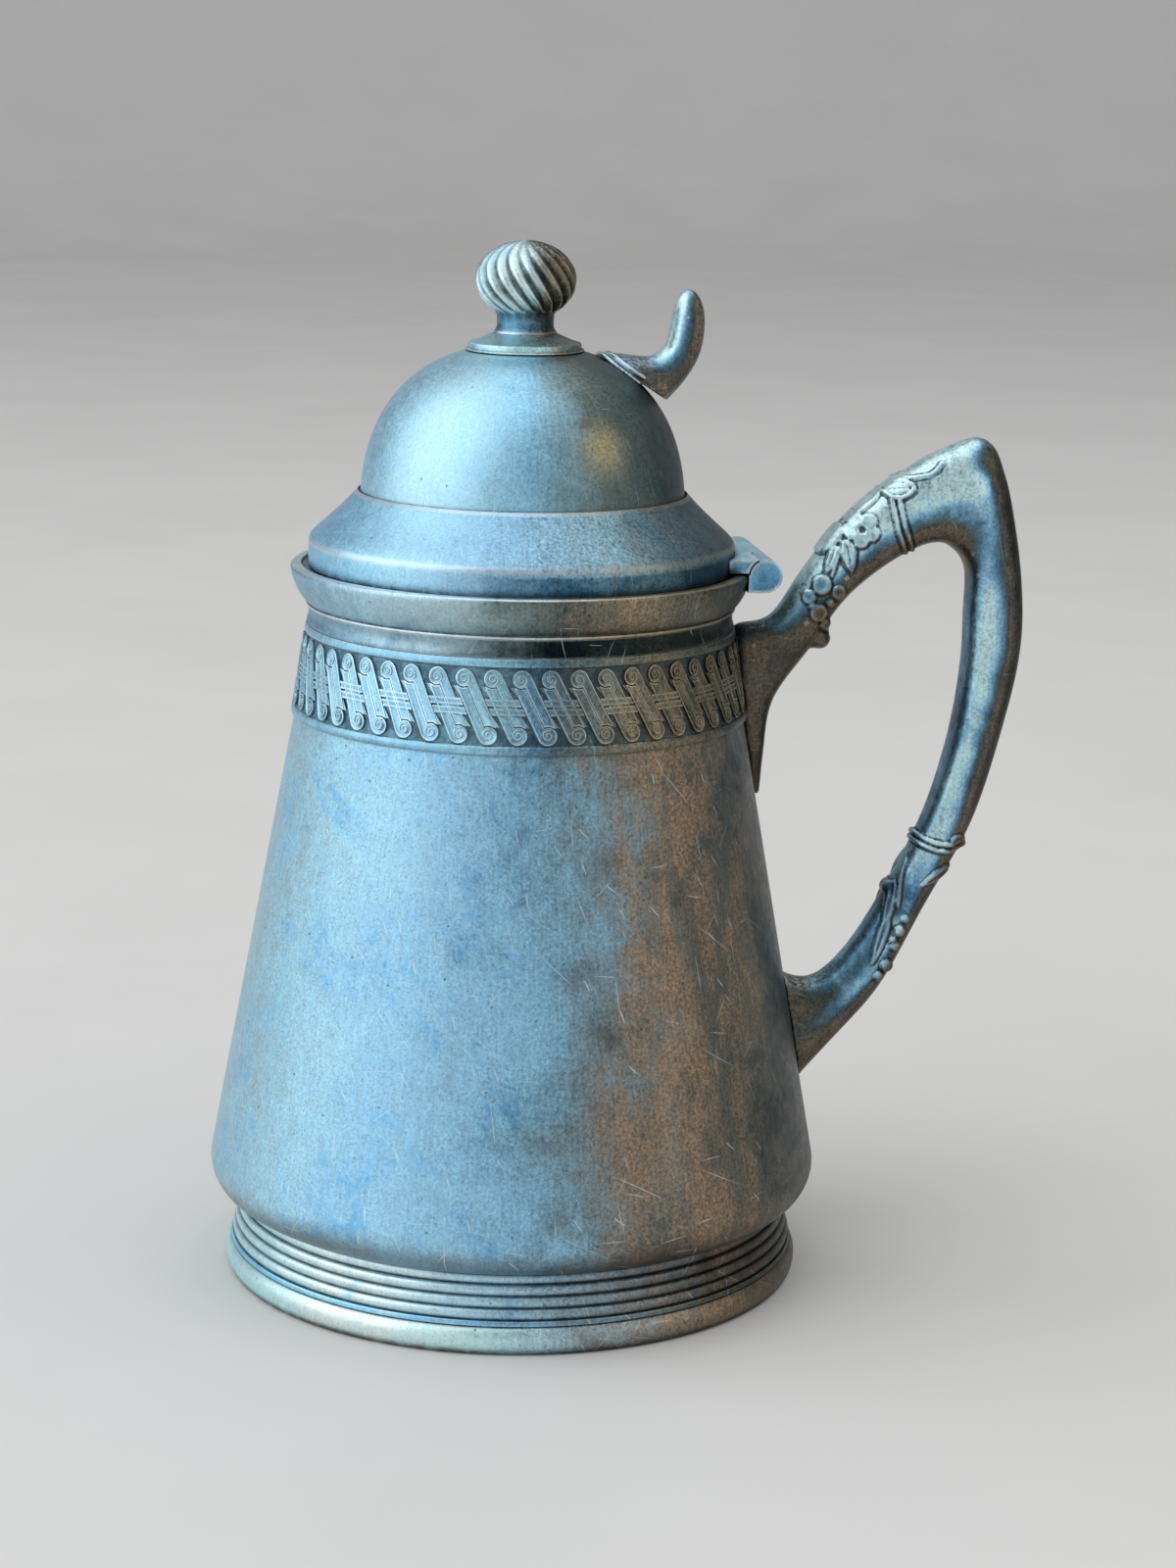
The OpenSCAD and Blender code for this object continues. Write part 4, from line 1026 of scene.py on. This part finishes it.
handleCups = [
    {"centre": (51.3, 120.2), "radius": 1.75, "rise": 0.85, "dish": 0.65},
    {"centre": (54.3, 118.9), "radius": 1.3, "rise": 0.7, "dish": 0.5},
    {"centre": (49.1, 118.1), "radius": 1.25, "rise": 0.7, "dish": 0.5},
    {"centre": (50.9, 115.3), "radius": 1.6, "rise": 0.8, "dish": 0.6},
    {"centre": (77.2, 74.5), "radius": 1.5, "rise": 0.8, "dish": 0.6},
]
handleBuds = [  # place, radius
    ((67.3, 58.7), 1.1), ((66.8, 55.9), 0.95), ((65.3, 52.4), 1.25), ((64.0, 50.5), 1.0), ((66.2, 57.2), 0.7),
    ((49.7, 116.6), 0.7), ((52.9, 117.0), 0.8), ((52.3, 113.2), 1.2), ((68.3, 60.9), 0.8),
]
handleLumps = [  # bosses that stand out all round the bar: place, radius, rise
    ((51.6, 110.6), 3.2, 2.3),
    ((69.4, 75.7), 2.0, 0.8),
    ((77.9, 74.3), 2.2, 0.8),
    ((64.7, 66.4), 2.4, 0.9),
]
handleRibbons = [  # path, half width, rise
    ([(61.3, 136.4), (63.2, 137.9), (64.9, 138.3), (67.2, 138.6), (69.5, 139.1), (70.6, 139.9), (71.6, 141.1)],
     0.4, 0.5),
    ([(61.3, 136.4), (62.4, 137.4), (63.8, 137.9), (65.4, 137.9), (66.5, 137.4), (66.7, 136.6), (65.9, 135.8),
      (64.6, 135.2), (63.2, 135.2), (62.1, 135.7), (61.3, 136.4)], 0.4, 0.7),
    ([(61.3, 136.2), (60.3, 134.8), (59.0, 133.7), (57.6, 132.6)], 0.4, 0.5),
    ([(62.9, 134.9), (63.5, 132.2), (64.1, 129.9), (64.9, 127.8), (65.9, 125.8)], 0.52, 0.55),
    ([(64.1, 135.1), (64.7, 132.5), (65.3, 130.4), (66.1, 128.3), (67.1, 126.3)], 0.52, 0.55),
    ([(54.6, 127.6), (53.8, 124.6), (52.9, 121.8)], 0.3, 0.45),
    ([(68.9, 74.2), (68.0, 70.4), (67.3, 67.3), (66.9, 63.3)], 0.38, 0.5),
    ([(69.2, 76.5), (70.9, 75.3), (73.2, 74.5), (75.6, 74.1), (77.4, 74.8)], 0.5, 0.6),
    ([(69.0, 75.1), (70.9, 74.1), (73.2, 73.3), (75.6, 72.9), (77.2, 73.5)], 0.5, 0.6),
]
handleStations = [  # inner and outer edge of the bar, from the tongue to the lower root
    ((42.2, 83.2), (40.3, 82.8)), ((42.8, 91.2), (37.9, 92.2)), ((44.1, 99.8), (36.0, 111.4)),
    ((50.4, 108.8), (43.1, 113.9)), ((55.9, 117.0), (48.8, 122.6)), ((62.6, 122.8), (56.9, 132.5)),
    ((68.9, 126.3), (67.1, 140.4)), ((72.5, 126.9), (75.5, 144.5)), ((74.4, 126.1), (79.0, 145.2)),
    ((76.0, 124.7), (81.6, 143.5)), ((77.1, 122.8), (83.3, 139.6)), ((77.6, 120.2), (84.9, 134.2)),
    ((77.4, 114.5), (87.3, 121.6)), ((77.3, 106.0), (87.8, 108.4)), ((75.6, 93.2), (84.9, 93.4)),
    ((71.5, 78.8), (80.1, 77.0)), ((64.8, 65.0), (72.4, 62.9)), ((58.1, 54.4), (65.1, 48.5)),
    ((51.8, 49.5), (57.4, 39.5)), ((44.8, 52.1), (49.2, 30.3)),
]
handleShades = [  # painted light and shade: station, then how much darker the inner edge, inner half, outer half and outer edge are
    (0.0, 0.9, 0.9, 0.9, 0.9),
    (2.6, 0.9, 0.9, 0.9, 0.8),
    (3.6, 0.8, 0.6, 0.2, 0.0),
    (4.4, 0.85, 0.15, -0.45, -0.3),
    (7.0, 0.85, -0.1, -0.55, -0.3),
    (8.2, 0.6, 0.0, -0.5, 0.45),
    (9.4, 0.5, 0.0, -0.2, 0.95),
    (11.0, 0.45, -0.2, 0.05, 0.95),
    (14.2, 0.45, -0.22, 0.05, 0.9),
    (15.5, 0.4, -0.1, -0.2, 0.7),
    (17.0, 0.4, 0.3, -0.2, 0.6),
    (18.0, 0.6, 0.45, 0.05, 0.6),
    (19.0, 0.8, 0.8, 0.6, 0.7),
]
shadeBorders = [(-0.9, -0.35), (-0.35, 0.2), (0.2, 0.75)]  # where each of the four shades passes into the next


def handleHeights(spots):
    layers = [blossomHeights(spots, blossom)]
    layers += [leafHeights(spots, leaf) for leaf in handleLeaves]
    layers += [cupHeights(spots, **cup) for cup in handleCups]
    for centre, radius in handleBuds:
        layers.append(halfRound(np.linalg.norm(spots - centre, axis=1), radius, 0.7 * radius))
    layers += [halfRound(awayFrom(spots, line), half, rise) for line, half, rise in handleRibbons]
    return np.maximum(np.max(layers, axis=0), 0.0)


def softStep(value, low, high):
    share = np.clip((value - low) / (high - low), 0.0, 1.0)
    return share * share * (3.0 - 2.0 * share)


def alongBar(spots):
    # Station along the bar and place across it, -1 on the inner edge and 1 on the outer edge
    edges = np.array(handleStations)
    best = np.full(len(spots), 1e6)
    station = np.where(spots[:, 1] < 60.0, len(edges) - 1.0, 0.0)
    across = np.zeros(len(spots))
    step = 0.25
    for i in range(int((len(edges) - 1) / step) + 1):
        k = min(int(i * step), len(edges) - 2)
        inner, outer = edges[k] + (i * step - k) * (edges[k + 1] - edges[k])
        half = 0.5 * (outer - inner)
        off = spots - 0.5 * (inner + outer)
        here = off @ half / (half @ half)
        past = off[:, 0] * half[1] - off[:, 1] * half[0]
        if i:  # spots that lie between the last line across the bar and this one
            share = lastPast / np.where(lastPast == past, 1.0, lastPast - past)
            place = lastHere + share * (here - lastHere)
            held = (lastPast * past <= 0.0) & (np.abs(place) < best)
            best[held] = np.abs(place[held])
            across[held] = place[held]
            station[held] = (i - 1 + share[held]) * step
        lastHere, lastPast = here, past
    return station, across


def barShades(station, across):
    table = np.array(handleShades)
    rows = [np.interp(station, table[:, 0], column) for column in table[:, 1:].T]
    shade = rows[0]
    for first, second, (low, high) in zip(rows, rows[1:], shadeBorders):
        shade = shade + (second - first) * softStep(across, low, high)
    return shade


def makeHandle():
    s = handleSizes
    bm = smoothCopy("handle", s)
    places = np.array([vert.co for vert in bm.verts]) / mm
    spots = places[:, [0, 2]]
    station, across = alongBar(spots)
    start, full, fading, end = s["grip"]
    cut = softStep(across, 0.0, 1.0) * softStep(station, start, full) * softStep(station, end, fading)
    for vert, share in zip(bm.verts, cut):  # the outer side of the grip turns away, with its outline kept
        vert.co.y *= 1.0 - s["chamfer"] * share
    bm.normal_update()
    for (x, z), radius, rise in handleLumps:
        away = np.linalg.norm(places * (1.0, 0.7, 1.0) - (x, 0.0, z), axis=1)
        for vert, lift in zip(bm.verts, rise * np.exp(-(away / (0.6 * radius)) ** 4)):
            vert.co += vert.normal * (lift * mm)
    bm.normal_update()
    raiseRelief(bm, handleHeights(spots), s["fade"])
    evenOut(bm, s["even"])
    # painted light and shade along and across the bar
    layer = bm.verts.layers.float.new("shade")
    for vert, shade in zip(bm.verts, barShades(station, across)):
        vert[layer] = shade
    plate = silverPlate("old_plate_handle", handleLook)
    finishPiece(bm, "cast_scroll_handle", "pitcher", ["handle"], plate, 80.0)


makeHandle()
print("handle made")


# Thumb lift: a leaf on the dome that turns up into a horn, with lines along its near edges

liftSizes = {"voxel": 0.18, "soften": 8, "fade": 0.4, "even": 0.4}
liftLines = [  # path, half width, rise
    ([(12.4, 159.2), (13.6, 158.4), (15.4, 156.9), (17.0, 155.7), (18.6, 154.6)], 0.34, 0.4),
    ([(13.6, 159.6), (15.0, 158.6), (16.6, 157.4), (18.2, 156.2), (19.6, 155.4)], 0.34, 0.4),
]
liftLook = {
    "tones": castTones, "waver": 0.4, "turned": False, "dense": True, "rough": 0.34,
    "lit": (-0.93, 0.20, 0.31), "underShare": 0.5, "grain": (1.4, 2.4), "mottled": 0.7, "scratchShare": 0.25,
}


def makeLift():
    bm = smoothCopy("thumb_lift", liftSizes)
    spots = np.array([vert.co for vert in bm.verts])[:, [0, 2]] / mm
    layers = [halfRound(awayFrom(spots, line), half, rise) for line, half, rise in liftLines]
    raiseRelief(bm, np.max(layers, axis=0), liftSizes["fade"])
    evenOut(bm, liftSizes["even"])
    plate = silverPlate("old_plate_lift", liftLook)
    finishPiece(bm, "leaf_thumb_lift", "lid", ["thumb_lift"], plate, 80.0)


makeLift()


# Hinge: copies of the two halves with worn edges

hingeSizes = {"edge": 0.22, "bore": 1.3}
hingeLook = {
    "tones": [(-1.0, (0.48, 0.86, 1.0)), (-0.6, (0.30, 0.62, 0.84)), (-0.3, (0.15, 0.38, 0.55)),
              (0.1, (0.08, 0.14, 0.17)), (1.0, (0.02, 0.03, 0.035))],
    "waver": 0.35, "turned": False, "lit": (-0.3, 0.38, 0.87), "rough": 0.38, "mottled": 0.7, "wearAndHighlightShare": 1.0,
    "wearAndHighlightWidth": 0.0011,
}
hingePlate = silverPlate("old_plate_hinge", hingeLook)


def makeHinge(node, name, body):
    bm = mergedCopy(node)
    low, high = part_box("hinge_pin")
    axis = 0.5 * (low + high)

    def inBore(vert):
        return math.hypot(vert.co.x - axis.x, vert.co.z - axis.z) < hingeSizes["bore"] * mm

    if node == "hinge_block":  # the ends of the pin are filed flush, so its holes don't show
        bore = [f for f in bm.faces if all(inBore(v) for v in f.verts)]
        bmesh.ops.delete(bm, geom=bore, context="FACES")
        bmesh.ops.holes_fill(bm, edges=[e for e in bm.edges if e.is_boundary], sides=0)
    bmesh.ops.dissolve_limit(bm, angle_limit=math.radians(1.0), verts=bm.verts, edges=bm.edges)
    bmesh.ops.recalc_face_normals(bm, faces=bm.faces)
    corners = [e for e in bm.edges if len(e.link_faces) == 2 and e.calc_face_angle(0.0) > math.radians(40.0)
               and not all(inBore(v) for v in e.verts)]
    bmesh.ops.bevel(bm, geom=corners, offset=hingeSizes["edge"] * mm, offset_type="OFFSET", affect="EDGES",
                    segments=2, profile=0.5, material=-1, clamp_overlap=True)
    finishPiece(bm, name, body, [node], hingePlate, 30.0)


makeHinge("hinge_block", "hinge_fixed_half", "pitcher")
makeHinge("hinge_leaf", "hinge_moving_half", "lid")
print("lift and hinge made")


# Pieces that keep their own shape: the pin, and bare brass inside and below

brassLook = {
    "tones": [(-1.0, (0.58, 0.43, 0.22)), (0.0, (0.46, 0.33, 0.16)), (1.0, (0.26, 0.18, 0.09))],
    "waver": 0.3, "turned": False, "rough": 0.38, "copperShare": 0.0, "dustShare": 0.0, "stainShare": 0.0,
    "wearAndHighlight": (0.75, 0.60, 0.34, 1.0), "scratch": (0.78, 0.64, 0.40, 1.0),
}
bareBrass = silverPlate("bare_brass", brassLook)
for node in ("bottom_disc", "hinge_pin", "finial_stud", "finial_washer", "finial_nut"):
    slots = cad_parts[node].data.materials
    slots.clear()
    slots.append(hingePlate if node == "hinge_pin" else bareBrass)
print("materials made:", len(bpy.data.materials))


# Floor, light and camera

stageLook = {"floor": (0.80, 0.79, 0.77, 1.0), "clouds": (0.84, 0.83, 0.81, 1.0), "rough": 0.75, "shine": 0.15,
             "width": 16.0, "front": 8.0, "back": 2.6, "bend": 0.9, "wall": 3.0}


def makeStage():
    # A floor that bends up into a wall, in metres
    s = stageLook
    outline = [(-s["front"], 0.0)] + arcPoints((s["back"], s["bend"]), s["bend"], -90.0, 0.0, 12)
    outline.append((s["back"] + s["bend"], s["wall"]))
    bm = bmesh.new()
    row = [bm.verts.new((-0.5 * s["width"], y, z)) for y, z in outline]
    edges = [bm.edges.new(pair) for pair in zip(row, row[1:])]
    swept = bmesh.ops.extrude_edge_only(bm, edges=edges)["geom"]
    far = [g for g in swept if isinstance(g, bmesh.types.BMVert)]
    bmesh.ops.translate(bm, verts=far, vec=(s["width"], 0.0, 0.0))
    bmesh.ops.recalc_face_normals(bm, faces=bm.faces)
    for face in bm.faces:
        face.smooth = True
    floor = looseObject(bm, "floor")
    paper = bpy.data.materials.new("pale_paper")
    paper.use_nodes = True
    tree = paper.node_tree
    shader = tree.nodes["Principled BSDF"]
    coords = addNode(tree, "ShaderNodeTexCoord").outputs["Object"]
    tone = blendColour(tree, ramp(tree, noise(tree, coords, 9.0), 0.2, 0.8), s["floor"], s["clouds"])
    tree.links.new(tone, shader.inputs["Base Color"])
    shader.inputs["Roughness"].default_value = s["rough"]
    shader.inputs["Specular IOR Level"].default_value = s["shine"]
    floor.data.materials.append(paper)


lampLooks = [
    {"name": "key", "place": (-1.40, -0.25, 0.75), "size": 2.4, "power": 19.0, "colour": (0.97, 0.985, 1.0)},
    {"name": "top", "place": (0.10, 0.05, 1.50), "size": 1.8, "power": 7.0, "colour": (1.0, 1.0, 1.0)},
    {"name": "fill", "place": (1.10, -0.80, 0.60), "size": 1.2, "power": 2.5, "colour": (1.0, 0.98, 0.95)},
]
worldLook = {"colour": (0.78, 0.80, 0.82, 1.0), "strength": 0.5}


def makeLight():
    middle = Vector((0.0, 0.0, 0.09))
    for look in lampLooks:
        lamp = bpy.data.lights.new(look["name"], "AREA")
        lamp.size = look["size"]
        lamp.energy = look["power"]
        lamp.color = look["colour"]
        holder = bpy.data.objects.new(look["name"], lamp)
        holder.location = look["place"]
        holder.rotation_euler = (middle - Vector(look["place"])).to_track_quat("-Z", "Y").to_euler()
        bpy.context.collection.objects.link(holder)
    world = bpy.data.worlds.new("studio")
    world.use_nodes = True
    backdrop = world.node_tree.nodes["Background"].inputs
    backdrop["Color"].default_value = worldLook["colour"]
    backdrop["Strength"].default_value = worldLook["strength"]
    bpy.context.scene.world = world
    bpy.context.scene.view_settings.view_transform = "Standard"


cameraView = {"distance": 0.58937, "height": 0.21319, "swing": -7.0, "aim": -1.173, "pitch": 12.249,
              "roll": 1.173, "lens": 80.425, "sensor": 36.0}


def makeCamera():
    s = cameraView
    lens = bpy.data.cameras.new("camera")
    lens.lens = s["lens"]
    lens.sensor_width = s["sensor"]
    lens.clip_start = 0.01
    eye = bpy.data.objects.new("camera", lens)
    swing = math.radians(s["swing"])
    place = Vector((s["distance"] * math.sin(swing), -s["distance"] * math.cos(swing), s["height"]))
    turn = Matrix.Rotation(math.radians(s["aim"] + s["swing"]), 4, "Z")
    turn = turn @ Matrix.Rotation(math.radians(90.0 - s["pitch"]), 4, "X")
    turn = turn @ Matrix.Rotation(math.radians(s["roll"]), 4, "Z")
    eye.matrix_world = Matrix.Translation(place) @ turn
    bpy.context.collection.objects.link(eye)
    bpy.context.scene.camera = eye


makeStage()
makeLight()
makeCamera()
print("stage, lamps and camera made")
